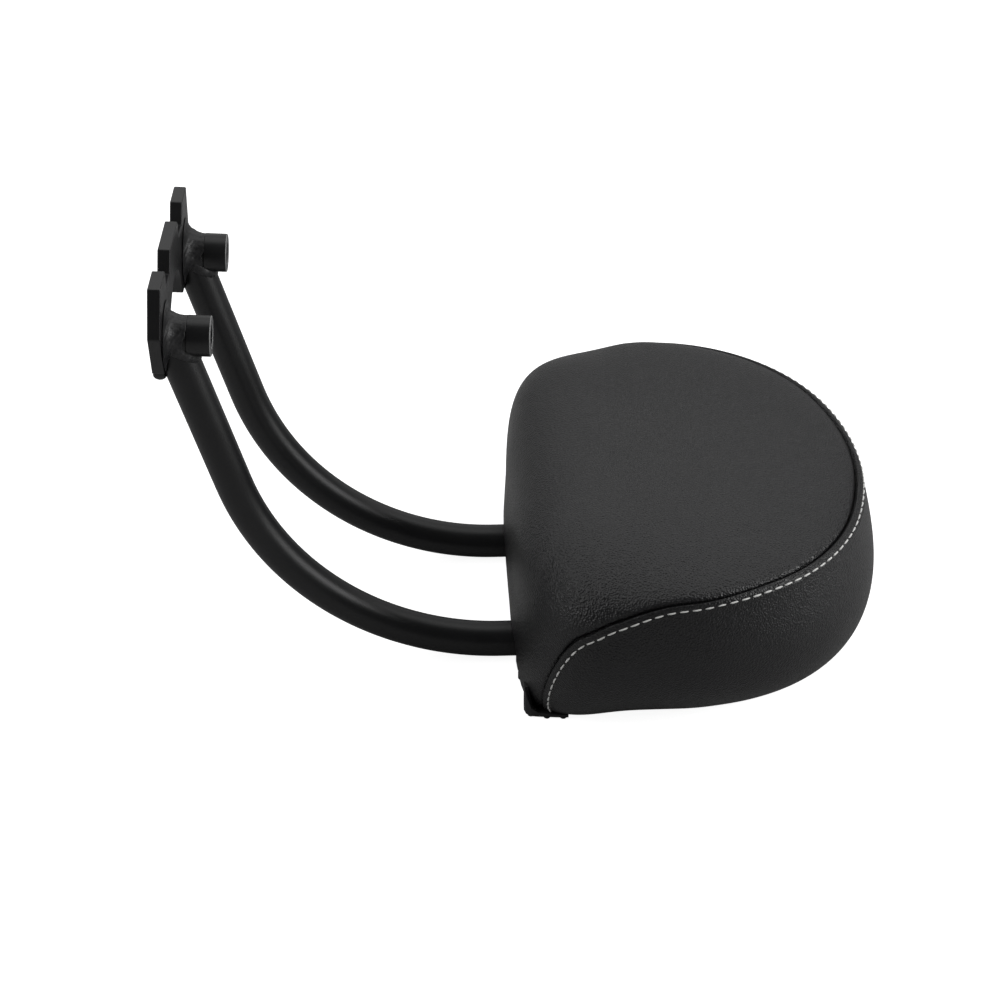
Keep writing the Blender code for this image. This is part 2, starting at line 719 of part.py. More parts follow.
def bead(name, points, radius, resolution=2):
    """Round bead along points, closed at both ends."""
    curve = bpy.data.curves.new(name, "CURVE")
    curve.dimensions = "3D"
    curve.bevel_depth = radius
    curve.bevel_resolution = resolution
    curve.use_fill_caps = True
    spline = curve.splines.new("POLY")
    spline.points.add(len(points) - 1)
    for point, place in zip(spline.points, points):
        point.co = (*place, 1.0)
    return curve_to_mesh(name, curve)


def make_saddle_weld(side, label):
    """Bead round the joint of tube and boss, on the side away from the plate."""
    points = []
    for step in range(SADDLE_STEPS + 1):
        angle = SADDLE_WELD_SWEEP * (step / SADDLE_STEPS - 0.5)
        points.append(saddle_point(side, angle))
    weld = add_part(f"saddle_weld_{label}", bead("saddle weld", points, SADDLE_WELD_RADIUS), weld_black)
    cut(weld, cutters_for[f"tube_room_{label}"])
    cut(weld, cutters_for[f"boss_room_{label}"])
    cut(weld, cutters_for["boss_weld_room"])


def make_toe_weld(side, label):
    """Fillet under the plate's lower edge, against the tube."""
    low = -PLATE_FOOT_DROP - GAP
    points = [
        (-PLATE_THICKNESS + TOE_WELD_BACK, low),
        (TOE_WELD_FRONT, low),
        (TOE_WELD_FRONT, low - TOE_WELD_DEPTH),
        (-PLATE_THICKNESS / 2.0, low - TOE_WELD_DEPTH * TOE_WELD_FULLNESS),
    ]
    mesh = outline_solid("toe weld", points, -TOE_WELD_WIDTH / 2.0, TOE_WELD_WIDTH / 2.0)
    frame = plate_frame(side)
    turn = Matrix(((0, 0, 1, 0), (0, 1, 0, 0), (1, 0, 0, 0), (0, 0, 0, 1)))
    mesh.transform(turn)
    mesh.flip_normals()
    weld = add_part(f"toe_weld_{label}", mesh, weld_black, frame)
    cut(weld, cutters_for[f"tube_room_{label}"])


# Bracket and fasteners

def bolt_places():
    """Bolt centres in plan with a label for each corner."""
    places = []
    for along, end in ((-1, "rear"), (1, "front")):
        for across, label in SIDES:
            places.append((f"{end}_{label}", BOLT_CENTRE_X + along * BOLT_PITCH_X / 2.0,
                           across * BOLT_PITCH_Y / 2.0))
    return places


def make_bracket():
    back, front = BRACKET_START, BRACKET_START + BRACKET_LENGTH
    half = BRACKET_WIDTH / 2.0
    corner = BRACKET_CHAMFER
    points = [
        (back, half - corner), (back, corner - half), (back + corner, -half), (front - corner, -half),
        (front, corner - half), (front, half - corner), (front - corner, half), (back + corner, half),
    ]
    mesh = outline_solid("bracket", points, BRACKET_LOW, BRACKET_LOW + BRACKET_THICKNESS)
    bracket = add_part("pad_bracket", mesh, steel_black, smooth=False)
    bevel(bracket, BRACKET_EDGE_BREAK)
    centre = Matrix.Translation((BOLT_CENTRE_X, 0.0, 0.0))
    window = cylinder("bracket window", BRACKET_HOLE / 2.0, 0.0, CUTTER_REACH)
    cut(bracket, add_cutter("bracket_window", window, centre))
    for label, along, across in bolt_places():
        hole = cylinder("bracket hole", BOLT_DIAMETER / 2.0 + BOLT_PLAY, 0.0, CUTTER_REACH, HOLE_SIDES)
        place = Matrix.Translation((along, across, 0.0))
        cut(bracket, add_cutter(f"bracket_hole_{label}", hole, place))


def make_bracket_weld(side, label, edge, edge_label):
    across = side * TUBE_SPACING / 2.0 + edge * (TUBE_DIAMETER / 2.0 - BRACKET_WELD_INSET)
    height = BRACKET_LOW - GAP - BRACKET_WELD_RADIUS
    start = BRACKET_START + BRACKET_WELD_MARGIN
    end = BRACKET_START + BRACKET_LENGTH - BRACKET_WELD_MARGIN
    ends = [Vector((start, across, height)), Vector((end, across, height))]
    mesh = bead("bracket weld", ends, BRACKET_WELD_RADIUS)
    weld = add_part(f"bracket_weld_{label}_{edge_label}", mesh, weld_black)
    cut(weld, cutters_for[f"tube_room_{label}"])


def make_tube_plug(side, label):
    """Push-in cap of the tube's free end."""
    barrel = TUBE_DIAMETER / 2.0 - TUBE_WALL - GAP
    outer = TUBE_DIAMETER / 2.0
    profile = [
        (PLUG_VENT_DIAMETER / 2.0, GAP + PLUG_HEAD),
        (PLUG_VENT_DIAMETER / 2.0, GAP + PLUG_HEAD - PLUG_WALL),
        (barrel - PLUG_WALL, GAP),
        (barrel - PLUG_WALL, -PLUG_DEPTH),
        (barrel, -PLUG_DEPTH),
        (barrel, GAP),
        (outer, GAP),
        (outer, GAP + PLUG_HEAD * 0.5),
        (outer - PLUG_HEAD * 0.5, GAP + PLUG_HEAD),
    ]
    place = Matrix.Translation((UNDER_PAD_LENGTH, side * TUBE_SPACING / 2.0, TUBE_DIAMETER / 2.0))
    turn = Matrix.Rotation(math.pi / 2.0, 4, "Y")
    plug = turned("tube plug", profile, FASTENER_SIDES)
    add_part(f"tube_plug_{label}", plug, plastic_black, place @ turn)


def make_fasteners():
    """Bolt, plain washer and spring washer under the bracket, insert in the pan."""
    washer_top = BRACKET_LOW - GAP
    washer_low = washer_top - WASHER_THICKNESS
    spring_top = washer_low - GAP
    spring_low = spring_top - SPRING_WASHER_THICKNESS
    head_top = spring_low - GAP
    head_low = head_top - BOLT_HEAD_HEIGHT
    boss_top = PAN_PANEL_TOP + PAN_BOSS_HEIGHT
    insert_low = PAN_PANEL_LOW
    shank = BOLT_DIAMETER / 2.0
    hole = shank + BOLT_PLAY
    head = BOLT_HEAD_FLATS / math.sqrt(3.0)
    for label, along, across in bolt_places():
        place = Matrix.Translation((along, across, 0.0))
        rod = cylinder("bolt", shank, head_top - BOLT_HEAD_OVERLAP, boss_top - BOLT_END_DEPTH, FASTENER_SIDES)
        bolt = add_part(f"bolt_{label}", rod, zinc, place)
        hexagon = cylinder("bolt head", head, head_low, head_top, 6)
        cut(bolt, add_cutter(f"bolt_head_{label}", hexagon, place), "UNION")
        washer = [(hole, washer_low), (WASHER_DIAMETER / 2.0, washer_low),
                  (WASHER_DIAMETER / 2.0, washer_top), (hole, washer_top)]
        add_part(f"washer_{label}", turned("washer", washer, FASTENER_SIDES), zinc, place)
        spring = [(hole, spring_low), (SPRING_WASHER_DIAMETER / 2.0, spring_low),
                  (SPRING_WASHER_DIAMETER / 2.0, spring_top), (hole, spring_top)]
        split_ring = turned("spring washer", spring, FASTENER_SIDES)
        ring = add_part(f"spring_washer_{label}", split_ring, zinc, place)
        half = SPRING_WASHER_SPLIT / 2.0
        slot = box("split", (0.0, -half, head_top), (WASHER_DIAMETER, half, washer_low))
        turn = Matrix.Rotation(SPRING_WASHER_TURN, 4, "Z")
        cut(ring, add_cutter(f"spring_split_{label}", slot, place @ turn))
        barrel = INSERT_DIAMETER / 2.0
        flange = INSERT_FLANGE / 2.0
        insert = [(hole, insert_low), (barrel, insert_low), (barrel, boss_top + GAP),
                  (flange, boss_top + GAP), (flange, boss_top + GAP + INSERT_FLANGE_THICKNESS),
                  (hole, boss_top + GAP + INSERT_FLANGE_THICKNESS)]
        bush = turned("threaded insert", insert, FASTENER_SIDES)
        add_part(f"threaded_insert_{label}", bush, zinc, place)


# Pad

def pan_rings(wall, top, middle):
    """Rings of the pan's outer skin, or of its inner skin at the wall's depth."""
    run, rise = PAN_STEP_INSET - PAN_BACK_INSET, PAN_STEP_TOP - PAN_STEP_LOW
    drop = wall * (math.hypot(run, rise) - rise) / run
    radius = PAN_EDGE_RADIUS - wall
    levels = [(PAN_STEP_TOP - drop, wall)]
    for step in range(PAN_EDGE_STEPS + 1):
        angle = math.pi / 2.0 * step / PAN_EDGE_STEPS
        levels.append((top - radius * (1.0 - math.sin(angle)), wall + radius * (1.0 - math.cos(angle))))
    rings = []
    for height in (COVER_THICKNESS + GAP, PAN_STEP_LOW - drop):
        rings.append([Vector((*pan_outline(turn, wall, PAN_BACK_INSET), height)) for turn in all_turns()])
    for height, inset in levels:
        rings.append([Vector((*pan_outline(turn, inset, step_inset(turn)), height)) for turn in all_turns()])
    rings.append([middle.lerp(point, PAN_TOP_RING) for point in rings[-1]])
    return rings


def make_pan():
    """Inverted moulded tray with tube notches, ribs, insert bosses and corner feet."""
    skirt_low = COVER_THICKNESS + GAP
    top = Vector((PAD_CENTRE, 0.0, PAN_PANEL_TOP))
    below = Vector((PAD_CENTRE, 0.0, PAN_PANEL_LOW))
    outer = pan_rings(0.0, PAN_PANEL_TOP, top)
    inner = pan_rings(PAN_WALL, PAN_PANEL_LOW, below)
    pan = add_part("base_pan", loft("base pan", inner[::-1] + outer, below, top), plastic_black)
    half = PAN_RIB_THICKNESS / 2.0
    rib_low = PAN_PANEL_LOW - PAN_RIB_DEPTH
    overlap = PAN_WALL / 2.0
    side_start = TUBE_SPACING / 2.0 + TUBE_DIAMETER
    for side, label in SIDES:
        for index, place in enumerate(PAN_RIB_PLACES):
            along = PAD_CENTRE + place
            ends = sorted((side * side_start, side * (PAD_FOOT_HALF_WIDTH - PAN_RIB_SIDE_INSET)))
            low = (along - half, ends[0], rib_low)
            high = (along + half, ends[1], PAN_PANEL_LOW + overlap)
            rib = add_cutter(f"pan_rib_{label}_{index}", box("rib", low, high))
            cut(pan, rib, "UNION")
        for index, past in enumerate(PAN_FOOT_TURNS):
            foot_at = pan_outline(side * (CORNER_TURN + past), PAN_WALL / 2.0, PAN_BACK_INSET)
            foot = cylinder("foot", PAN_FOOT_DIAMETER / 2.0, 0.0, skirt_low + PAN_FOOT_RISE, FOOT_SIDES)
            place = Matrix.Translation((*foot_at, 0.0))
            cut(pan, add_cutter(f"pan_foot_{label}_{index}", foot, place), "UNION")
        notch = TUBE_DIAMETER / 2.0 + TUBE_NOTCH_PLAY
        across = side * TUBE_SPACING / 2.0
        start, end = -CUTTER_OVERRUN, BRACKET_START
        turn = Matrix.Rotation(math.pi / 2.0, 4, "Y")
        bore = cylinder("tube notch", notch, start, end)
        place = Matrix.Translation((0.0, across, TUBE_DIAMETER / 2.0)) @ turn
        cut(pan, add_cutter(f"pan_notch_{label}", bore, place))
        low = (start, across - notch, -CUTTER_OVERRUN)
        slot = box("tube slot", low, (end, across + notch, TUBE_DIAMETER / 2.0))
        cut(pan, add_cutter(f"pan_slot_{label}", slot))
    for label, along, across in bolt_places():
        place = Matrix.Translation((along, across, 0.0))
        post = cylinder("insert boss", PAN_BOSS_DIAMETER / 2.0, PAN_PANEL_LOW + overlap,
                        PAN_PANEL_TOP + PAN_BOSS_HEIGHT)
        cut(pan, add_cutter(f"insert_boss_{label}", post, place), "UNION")
        bore = cylinder("insert bore", INSERT_DIAMETER / 2.0 + GAP, 0.0, CUTTER_REACH)
        cut(pan, add_cutter(f"insert_bore_{label}", bore, place))


def make_foam():
    """Moulded block over the pan, hollow underneath for it."""
    skin = COVER_THICKNESS + COVER_PLAY
    roof = PAN_PANEL_TOP + GAP
    around = all_turns()
    edge = [low_edge(turn, FOAM_LOW_EDGE, FOAM_BACK_EDGE, BACK_HEM_RAMP) for turn in around]
    middle = Vector((PAD_CENTRE, 0.0, roof))
    room = [pan_outline(turn, -FOAM_PAN_PLAY, step_inset(turn)) for turn in around]
    inner_top = [Vector((*point, roof)) for point in room]
    inner_low = [Vector((*point, height)) for point, height in zip(room, edge)]
    rings = [[middle.lerp(point, FOAM_ROOF_RING) for point in inner_top], inner_top, inner_low]
    for row in range(WALL_ROWS + 1):
        ring = []
        for turn, height in zip(around, edge):
            start = rise_over(turn, height - FOOT_HEIGHT)
            ring.append(inner_point(turn, blend(start, 1.0, row / WALL_ROWS), skin))
        rings.append(ring)
    for row in range(1, CROWN_ROWS):
        ring = [inner_point(turn, 1.0 + row / CROWN_ROWS, skin) for turn in around]
        rings.append(ring)
    crown = Vector((PAD_CENTRE, 0.0, PAD_THICKNESS - skin))
    foam = add_part("foam_core", loft("foam core", rings, middle, crown), foam_grey)
    for label, along, across in bolt_places():
        place = Matrix.Translation((along, across, 0.0))
        height = PAN_PANEL_TOP + PAN_BOSS_HEIGHT + INSERT_FLANGE_THICKNESS + FOAM_POCKET_ROOM
        pocket = cylinder("boss pocket", PAN_BOSS_DIAMETER / 2.0 + FOAM_POCKET_PLAY, 0.0, height, HOLE_SIDES)
        cut(foam, add_cutter(f"foam_pocket_{label}", pocket, place))


def make_top_cover():
    """One panel over the top and down the straight rear wall."""
    around = all_turns()
    outer, inner = [], []
    for row in range(COVER_ROWS):
        outside, inside = [], []
        for turn in around:
            if off_front(turn) <= CORNER_TURN:
                start = seam_rise(turn)
            else:
                start = rise_over(turn, low_edge(turn, FOOT_HEIGHT, BACK_HEM_HEIGHT) - FOOT_HEIGHT)
            start += rise_along(turn, start, SEAM_CLEARANCE)
            rise = blend(start, 2.0, row / COVER_ROWS)
            outside.append(pad_point(turn, rise))
            inside.append(inner_point(turn, rise, COVER_THICKNESS))
        outer.append(outside)
        inner.append(inside)
    crown = Vector((PAD_CENTRE, 0.0, PAD_THICKNESS))
    below = crown - Vector((0.0, 0.0, COVER_THICKNESS))
    add_part("top_cover", loft("top cover", inner[::-1] + outer, below, crown), leather_black)


def hem_section(turn):
    """Outer and inner points of the tucked hem, from its inner edge out to the wall's foot."""
    foot = pad_point(turn, 0.0)
    up = Vector((0.0, 0.0, 1.0))
    inward = -pad_normal(turn, 0.0)
    inward.z = 0.0
    inward.normalize()
    centre = foot + (inward * math.cos(HEM_START) + up * math.sin(HEM_START)) * HEM_RADIUS
    low = centre - up * HEM_RADIUS + inward * HEM_WIDTH
    outer, inner = [low], [low + up * COVER_THICKNESS]
    for step in range(HEM_STEPS + 1):
        angle = blend(math.pi / 2.0, HEM_START, step / HEM_STEPS)
        out = -inward * math.cos(angle) - up * math.sin(angle)
        outer.append(centre + out * HEM_RADIUS)
        inner.append(centre + out * (HEM_RADIUS - COVER_THICKNESS))
    return outer, inner


def make_side_band():
    """Wall panel from the tucked hem up to the seam, tapering to the rear corners."""
    sections = []
    for turn in band_turns():
        outer, inner = hem_section(turn)
        top = seam_rise(turn)
        top -= rise_along(turn, top, SEAM_CLEARANCE)
        for row in range(1, WALL_ROWS + 1):
            rise = top * row / WALL_ROWS
            outer.append(pad_point(turn, rise))
            inner.append(inner_point(turn, rise, COVER_THICKNESS))
        sections.append(outer + inner[::-1])
    add_part("side_band", loft("side band", sections, capped=True), leather_black)


def make_seam_fold():
    """Folded seam allowance, a thin strip on the band just below the seam."""
    sections = []
    for turn in band_turns()[1:-1]:
        top = seam_rise(turn)
        width = rise_along(turn, top, SEAM_FOLD_WIDTH)
        outer, inner = [], []
        for share in SEAM_FOLD_ROWS:
            rise = max(top - width * share, SEAM_FOLD_LOWEST * (1.0 - share))
            outer.append(inner_point(turn, rise, -SEAM_FOLD_LIFT - SEAM_FOLD_THICKNESS))
            inner.append(inner_point(turn, rise, -SEAM_FOLD_LIFT))
        sections.append(outer + inner[::-1])
    add_part("seam_fold", loft("seam fold", sections, capped=True), leather_black)


SIDES = ((-1, "right"), (1, "left"))

clear_scene()
parts = new_collection(PARTS_COLLECTION)
cutters = new_collection(CUTTERS_COLLECTION)
steel_black = material("black_powder_coat", (0.022, 0.022, 0.024), 0.42)
weld_black = material("black_coated_weld", (0.022, 0.022, 0.024), 0.5)
zinc = material("zinc_plated_steel", (0.62, 0.62, 0.6), 0.35, 1.0)
plastic_black = material("black_moulded_plastic", (0.018, 0.018, 0.019), 0.5)
foam_grey = material("grey_foam", (0.2, 0.2, 0.21), 0.95)
leather_black = material("black_synthetic_leather", (0.03, 0.03, 0.032), 0.55)

origin = bpy.data.objects.new("frame_origin", None)
parts.objects.link(origin)
pad_reach = max(pad_point(0.0, seam_rise(0.0) * row / WALL_ROWS).x for row in range(WALL_ROWS + 1))
length_middle = (PLATE_REACH.x + pad_reach) / 2.0
origin.location = (-length_middle, 0.0, 0.0)
bpy.context.view_layer.update()

cutters_for = make_frame_cutters()
make_mounting_plate()
make_bracket()
for side, label in SIDES:
    make_boss(side, label)
    make_arm_tube(side, label)
    make_boss_weld(side, label)
    make_saddle_weld(side, label)
    make_toe_weld(side, label)
    make_bracket_weld(side, label, -side, "inner")
    make_bracket_weld(side, label, side, "outer")
    make_tube_plug(side, label)
make_fasteners()
make_pan()
make_foam()
make_top_cover()
make_side_band()
make_seam_fold()
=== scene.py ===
"""Looks of the motorbike passenger backrest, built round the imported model.

All lengths are in metres in the row frame. The pad lies on its back on the floor, its rounded
end is at +X, the tubes run to the mounting plate at -X, and the camera stands at -Y.
"""

import json
import math

import bmesh
import bpy
import numpy as np
from mathutils import Matrix, Vector
from mathutils.kdtree import KDTree

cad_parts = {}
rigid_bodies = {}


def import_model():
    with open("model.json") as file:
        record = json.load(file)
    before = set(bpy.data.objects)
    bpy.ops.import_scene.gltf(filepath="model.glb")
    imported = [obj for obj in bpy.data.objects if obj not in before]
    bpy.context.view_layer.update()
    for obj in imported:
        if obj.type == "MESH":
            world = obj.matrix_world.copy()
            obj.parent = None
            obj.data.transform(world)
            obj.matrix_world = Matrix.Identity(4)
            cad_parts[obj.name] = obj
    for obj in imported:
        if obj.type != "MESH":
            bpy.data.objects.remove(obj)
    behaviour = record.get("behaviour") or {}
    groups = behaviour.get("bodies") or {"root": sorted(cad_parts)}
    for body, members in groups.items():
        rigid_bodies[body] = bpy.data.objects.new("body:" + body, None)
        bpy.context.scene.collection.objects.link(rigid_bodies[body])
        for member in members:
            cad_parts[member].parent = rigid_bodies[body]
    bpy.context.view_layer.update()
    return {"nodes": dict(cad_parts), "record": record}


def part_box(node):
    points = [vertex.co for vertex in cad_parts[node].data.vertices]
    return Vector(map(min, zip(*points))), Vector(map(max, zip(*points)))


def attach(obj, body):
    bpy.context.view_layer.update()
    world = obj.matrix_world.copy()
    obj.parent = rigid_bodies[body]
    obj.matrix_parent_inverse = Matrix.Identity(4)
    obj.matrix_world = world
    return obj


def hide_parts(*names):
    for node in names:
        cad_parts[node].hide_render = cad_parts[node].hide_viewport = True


MM = 0.001

# Frame sizes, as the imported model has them
TUBE_DIAMETER = 18.0 * MM
TUBE_SPACING = 90.0 * MM
BEND_RADIUS = 133.5 * MM
BEND_ANGLE = math.radians(74.0)
RISER_LENGTH = 83.6 * MM
UNDER_PAD_LENGTH = 142.0 * MM
PLATE_TILT = math.radians(3.5)
PLATE_SETBACK = 2.0 * MM
PLATE_THICKNESS = 6.0 * MM
BOSS_DIAMETER = 19.0 * MM
BOSS_BORE = 11.0 * MM
BOSS_LENGTH = 21.0 * MM
NECK_LENGTH = 9.6 * MM             # of the boss from the plate to its thicker collar
NECK_STEP = 0.45 * MM
BOSS_WELD_LEG = 7.0 * MM
BOSS_WELD_RUN = 8.1 * MM
WELD_TOP_RUN = {-1: 1.5 * MM, 1: 5.0 * MM}   # further along the boss's top, right and left
SADDLE_WELD_RADIUS = 2.4 * MM
TOE_WELD_DEPTH = {-1: 5.5 * MM, 1: 2.5 * MM}   # right and left
TOE_WELD_WIDTH = 11.0 * MM
PLATE_TAB_HEIGHT = 29.0 * MM
PLATE_NOTCH_HEIGHT = 18.5 * MM
CENTRE_TAB_HALF_WIDTH = 16.2 * MM
OUTER_TAB_INNER = 38.7 * MM
OUTER_TAB_OUTER = 58.1 * MM
NOTCH_SLOPE = 4.0 * MM
PLATE_HALF_WIDTH = 64.8 * MM
PLATE_SHOULDER_HEIGHT = 7.0 * MM
PLATE_FOOT_DROP = 16.7 * MM
PLATE_FOOT_OUTER = 52.6 * MM
PLATE_FOOT_INNER = 32.0 * MM
ARCH_HALF_WIDTH = 27.0 * MM
ARCH_FOOT_DROP = 7.0 * MM
ARCH_CROWN_HEIGHT = 8.0 * MM
PLATE_EDGE_BREAK = 0.7 * MM
GAP = 0.3 * MM
BOSS_RADII = (0.0, 0.0, 0.3 * MM, 0.3 * MM, 0.7 * MM, 0.5 * MM)   # of its profile's corners
BOSS_EDGE_SLOPE = (0.3, 0.97)      # range of the outward normal of an arris painted pale, for worn paint and a painted highlight
PLATE_BEVEL_FROM = math.radians(20.0)
BORE_CORE = 0.0001 * MM
BORE_REACH = 20.0 * MM

# Unevenness of the welds
WELD_LIFT = 0.2 * MM               # off the plate, past the clearance
WELD_OVERLAP = 0.3 * MM
WELD_CLEAR = 0.35 * MM             # round the boss's neck
WELD_LEG_CURVE = 1.1
WELD_RUN_CURVE = 1.05
WELD_LEG_SPREAD = 0.7 * MM
WELD_RUN_SPREAD = 0.9 * MM
WELD_RIPPLE = 0.06 * MM
WELD_RIPPLE_COUNT = 17.0
WELD_RIPPLE_SLANT = 5.0
WELD_RIPPLE_DRIFT = 1.5
WELD_LUMP = 0.45 * MM
WELD_LUMP_SLANT = 2.2
WELD_LUMP_SPREAD = 0.6             # lower is fuller towards both edges
WELD_LUMP_END = 1.02
BOSS_WELD_SEEDS = {-1: 1.3, 1: 4.1}    # right and left
SADDLE_SWEEP = math.radians(232.0)
SADDLE_HEIGHT = 0.4                # shares of the bead's radius
SADDLE_WIDTH = 1.3
SADDLE_MEAN = 0.95
SADDLE_RIPPLE = 0.03
SADDLE_RIPPLE_STEP = 0.83
SADDLE_LUMP = 0.06
SADDLE_END = 0.25
SADDLE_END_SLOPE = 6.0
TOE_TOP_GAP = 0.1 * MM
TOE_ROUNDNESS = 2.6
TOE_END = 0.25                     # depth at the ends, as a share
TOE_RIPPLE = 0.05
TOE_RIPPLE_STEP = 0.95
TOE_THICKNESS = 0.56               # half of it, as a share of the plate's

# Pad sizes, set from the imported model's a little closer to the photo
PAD_CENTRE = 76.7 * MM             # from the start of the bend
PAD_THICKNESS = 100.0 * MM
PAD_RIM_HEIGHT = 85.0 * MM
PAD_FOOT_HALF_WIDTH = 93.6 * MM
PAD_RIM_HALF_WIDTH = 127.8 * MM
PAD_FOOT_FRONT = 101.4 * MM
PAD_RIM_FRONT = 108.3 * MM
PAD_FOOT_BACK = 72.8 * MM
PAD_RIM_BACK = 69.1 * MM
WALL_SWELL_SIDE = 17.6 * MM
WALL_SWELL_FRONT = 12.0 * MM
WALL_SWELL_BACK = -1.1 * MM
WALL_SWELL_LOWNESS = 0.79
FRONT_ROUNDNESS_FOOT = 2.3
FRONT_ROUNDNESS_RIM = 2.18
BACK_ROUNDNESS_FOOT = 5.4
BACK_ROUNDNESS_RIM = 2.88
CROWN_ROUNDNESS = 2.12
BACK_RIM_HEIGHT = 46.4 * MM
BACK_CROWN_ROUNDNESS = 3.72
BACK_START = math.radians(81.7)
BACK_END = math.radians(146.6)
CORNER_START = math.radians(72.0)
CORNER_END = math.radians(120.0)
HEM_RADIUS = 1.9 * MM
HEM_START = math.radians(50.0)
HEM_WIDTH = 9.0 * MM
BACK_HEM_HEIGHT = 20.0 * MM
FOOT_HEIGHT = HEM_RADIUS * (1.0 - math.sin(HEM_START))
CORNER_TURN = math.radians(139.4)
CORNER_FLARE = 4.5 * MM            # sideways, of the foot's rear corners
FLARE_TURN = math.radians(131.0)
FLARE_SPREAD = math.radians(16.0)
FLARE_TOP = 0.6                    # share of the wall's height where it ends
BAND_END = CORNER_TURN - math.radians(0.4)
BACK_HEM_START = math.radians(4.0)    # past the corner
BACK_HEM_RAMP = math.radians(11.0)
LEATHER_THICKNESS = 1.4 * MM
TOP_COLUMNS = 420
TOP_ROWS = 110
TOP_ROW_SPREAD = 1.7               # packs the rows towards the seam
TOP_LAST_RISE = 1.985              # of the last row round the crown's middle
BAND_COLUMNS = 420
BAND_ROWS = 90
BAND_ROW_SPREAD = 1.8
HEM_CURL_STEPS = 5
HEM_FLAT_STEPS = 4
NORMAL_STEP = 0.004
HALVINGS = 30
SEAM_RISE_LIMIT = 1.5
SEAM_SAMPLES = 3000

# Seam: turn from the rounded end in degrees, height in millimetres
SEAM_PATH = (
    (-20.0, 89.9), (0.0, 89.4), (20.0, 89.9), (37.0, 89.6), (55.0, 89.2), (68.5, 88.8), (81.5, 87.3),
    (95.0, 84.5), (107.0, 79.1), (117.5, 71.5), (127.5, 56.5), (133.0, 36.5), (136.5, 18.5), (139.4, 0.5),
    (142.0, -20.0),
)

# Upholstery detail
GROOVE_DEPTH = 1.8 * MM
GROOVE_WIDTH = 1.0 * MM
GROOVE_SHARPNESS = 1.3
SHOULDER_PUFF = (0.4 * MM, 0.2 * MM)   # at the rounded end and at the sides
PUFF_START = math.radians(10.0)
PUFF_END = math.radians(50.0)
SHOULDER_REACH = 6.0 * MM
LIP_RISE = (0.8 * MM, 0.5 * MM)     # at the rounded end and at the sides
LIP_START = math.radians(50.0)
LIP_END = math.radians(85.0)
LIP_EDGE = 0.7 * MM
LIP_FADE = 1.6 * MM                # below the stitches, down to the plain wall
STITCH_HOLLOW = 0.45 * MM
STITCH_HOLLOW_WIDTH = 0.7 * MM
TOP_SWELL_START = 12.0 * MM        # from the seam to where the padding swells in full
BAND_SWELL_START = 10.0 * MM
FOOT_SWELL_START = 14.0 * MM
STITCH_DROP = 3.9 * MM             # from the seam down to the stitches
STITCH_PITCH = 5.85 * MM
STITCH_LENGTH = 4.6 * MM
THREAD_RADIUS = 0.42 * MM
THREAD_END = 0.35                  # thickness at a stitch's ends, as a share
THREAD_ARCH = 0.55 * MM
THREAD_SINK = 0.35 * MM
THREAD_SIDES = 8
THREAD_RINGS = 9
STITCH_DEPTH = 0.25 * MM           # of the stitch line below the lip's top
STITCH_SAMPLES = 1600
STITCH_LOWEST_RISE = 0.003
STITCH_STEP = 0.002
STITCH_TRIES = 12
STITCH_DAMPING = 0.6

# Simulated padding
SIM_INSET = 2.0 * MM
SIM_COLUMNS = 96
SIM_WALL_RISES = np.linspace(0.0, 1.0, 16)
SIM_CROWN_RISES = np.linspace(1.06, 1.9, 12)
SIM_VOXEL = 5.0 * MM
SIM_PRESSURE = 4.0
SIM_QUALITY = 6
SIM_FRAMES = 20
SIM_SEAM_SAMPLES = 400
SIM_HOLD_REACH = 9.0 * MM
SIM_SHARE = 0.3                    # of the cloth's travel that the leather takes up
SIM_SINK = 0.5 * MM
SIM_LIMIT = 2.0 * MM
SIM_SMOOTHING = 9.0 * MM           # evens out the cloth's own small dents
SIM_NEIGHBOURS = 7
SIM_CHUNK = 400

# Pan corner: x from the bend, y outwards and the wall's top, in millimetres from the back to the side
PAN_CORNER_PATH = (
    (10.2, 78.0, 12.0), (9.6, 88.0, 14.0), (9.4, 93.5, 15.0), (10.3, 96.6, 12.0), (12.6, 98.6, 6.0),
    (16.0, 99.2, 3.4), (22.0, 99.8, 2.6), (28.0, 100.4, 2.6), (31.0, 100.4, 2.6),
)
PAN_CORNER_WALL = 2.4 * MM
PAN_CORNER_LOW = 0.9 * MM          # underside, above the floor
PAN_CORNER_EDGE_BREAK = 0.4 * MM
PAN_SHELF_TOP = 2.2 * MM
PAN_SHELF_DEPTH = 9.0 * MM
PAN_CORNER_FEET = ((12.8, 96.4), (20.5, 98.4), (28.5, 98.9))
PAN_FOOT_RADIUS = 1.9 * MM
PAN_FOOT_TAPER = 0.8
PAN_FOOT_MIDDLE = 0.6 * MM
PAN_FOOT_HEIGHT = 1.0 * MM

# Mesh fineness
TUBE_SIDES = 72
TUBE_STRAIGHT_STEPS = 9
TUBE_BEND_STEPS = 60
RISER_SHARES = (0.25, 0.5, 0.75, 1.0)
ARC_STEPS = 4
BOSS_SIDES = 96
BORE_SIDES = 64
ARCH_STEPS = 24
BOSS_WELD_SIDES = 144
BOSS_WELD_STEPS = 22
SADDLE_SIDES = 20
SADDLE_STEPS = 150
TOE_COLUMNS = 60
TOE_SIDES = 24
FOOT_SIDES = 20
CUT_REACH = 0.2
SHARP_ANGLE = math.radians(40.0)
TUBE_SHARP_ANGLE = math.radians(32.0)

# Camera, worked out from the tubes, the bosses and the pad's outline
CAMERA_FROM_BEND = Vector((-32.65 * MM, -821.2 * MM, 584.9 * MM))
CAMERA_PITCH = math.radians(32.364)
CAMERA_YAW = math.radians(-2.391)
CAMERA_LENS = 68.0
CAMERA_SENSOR = 36.0

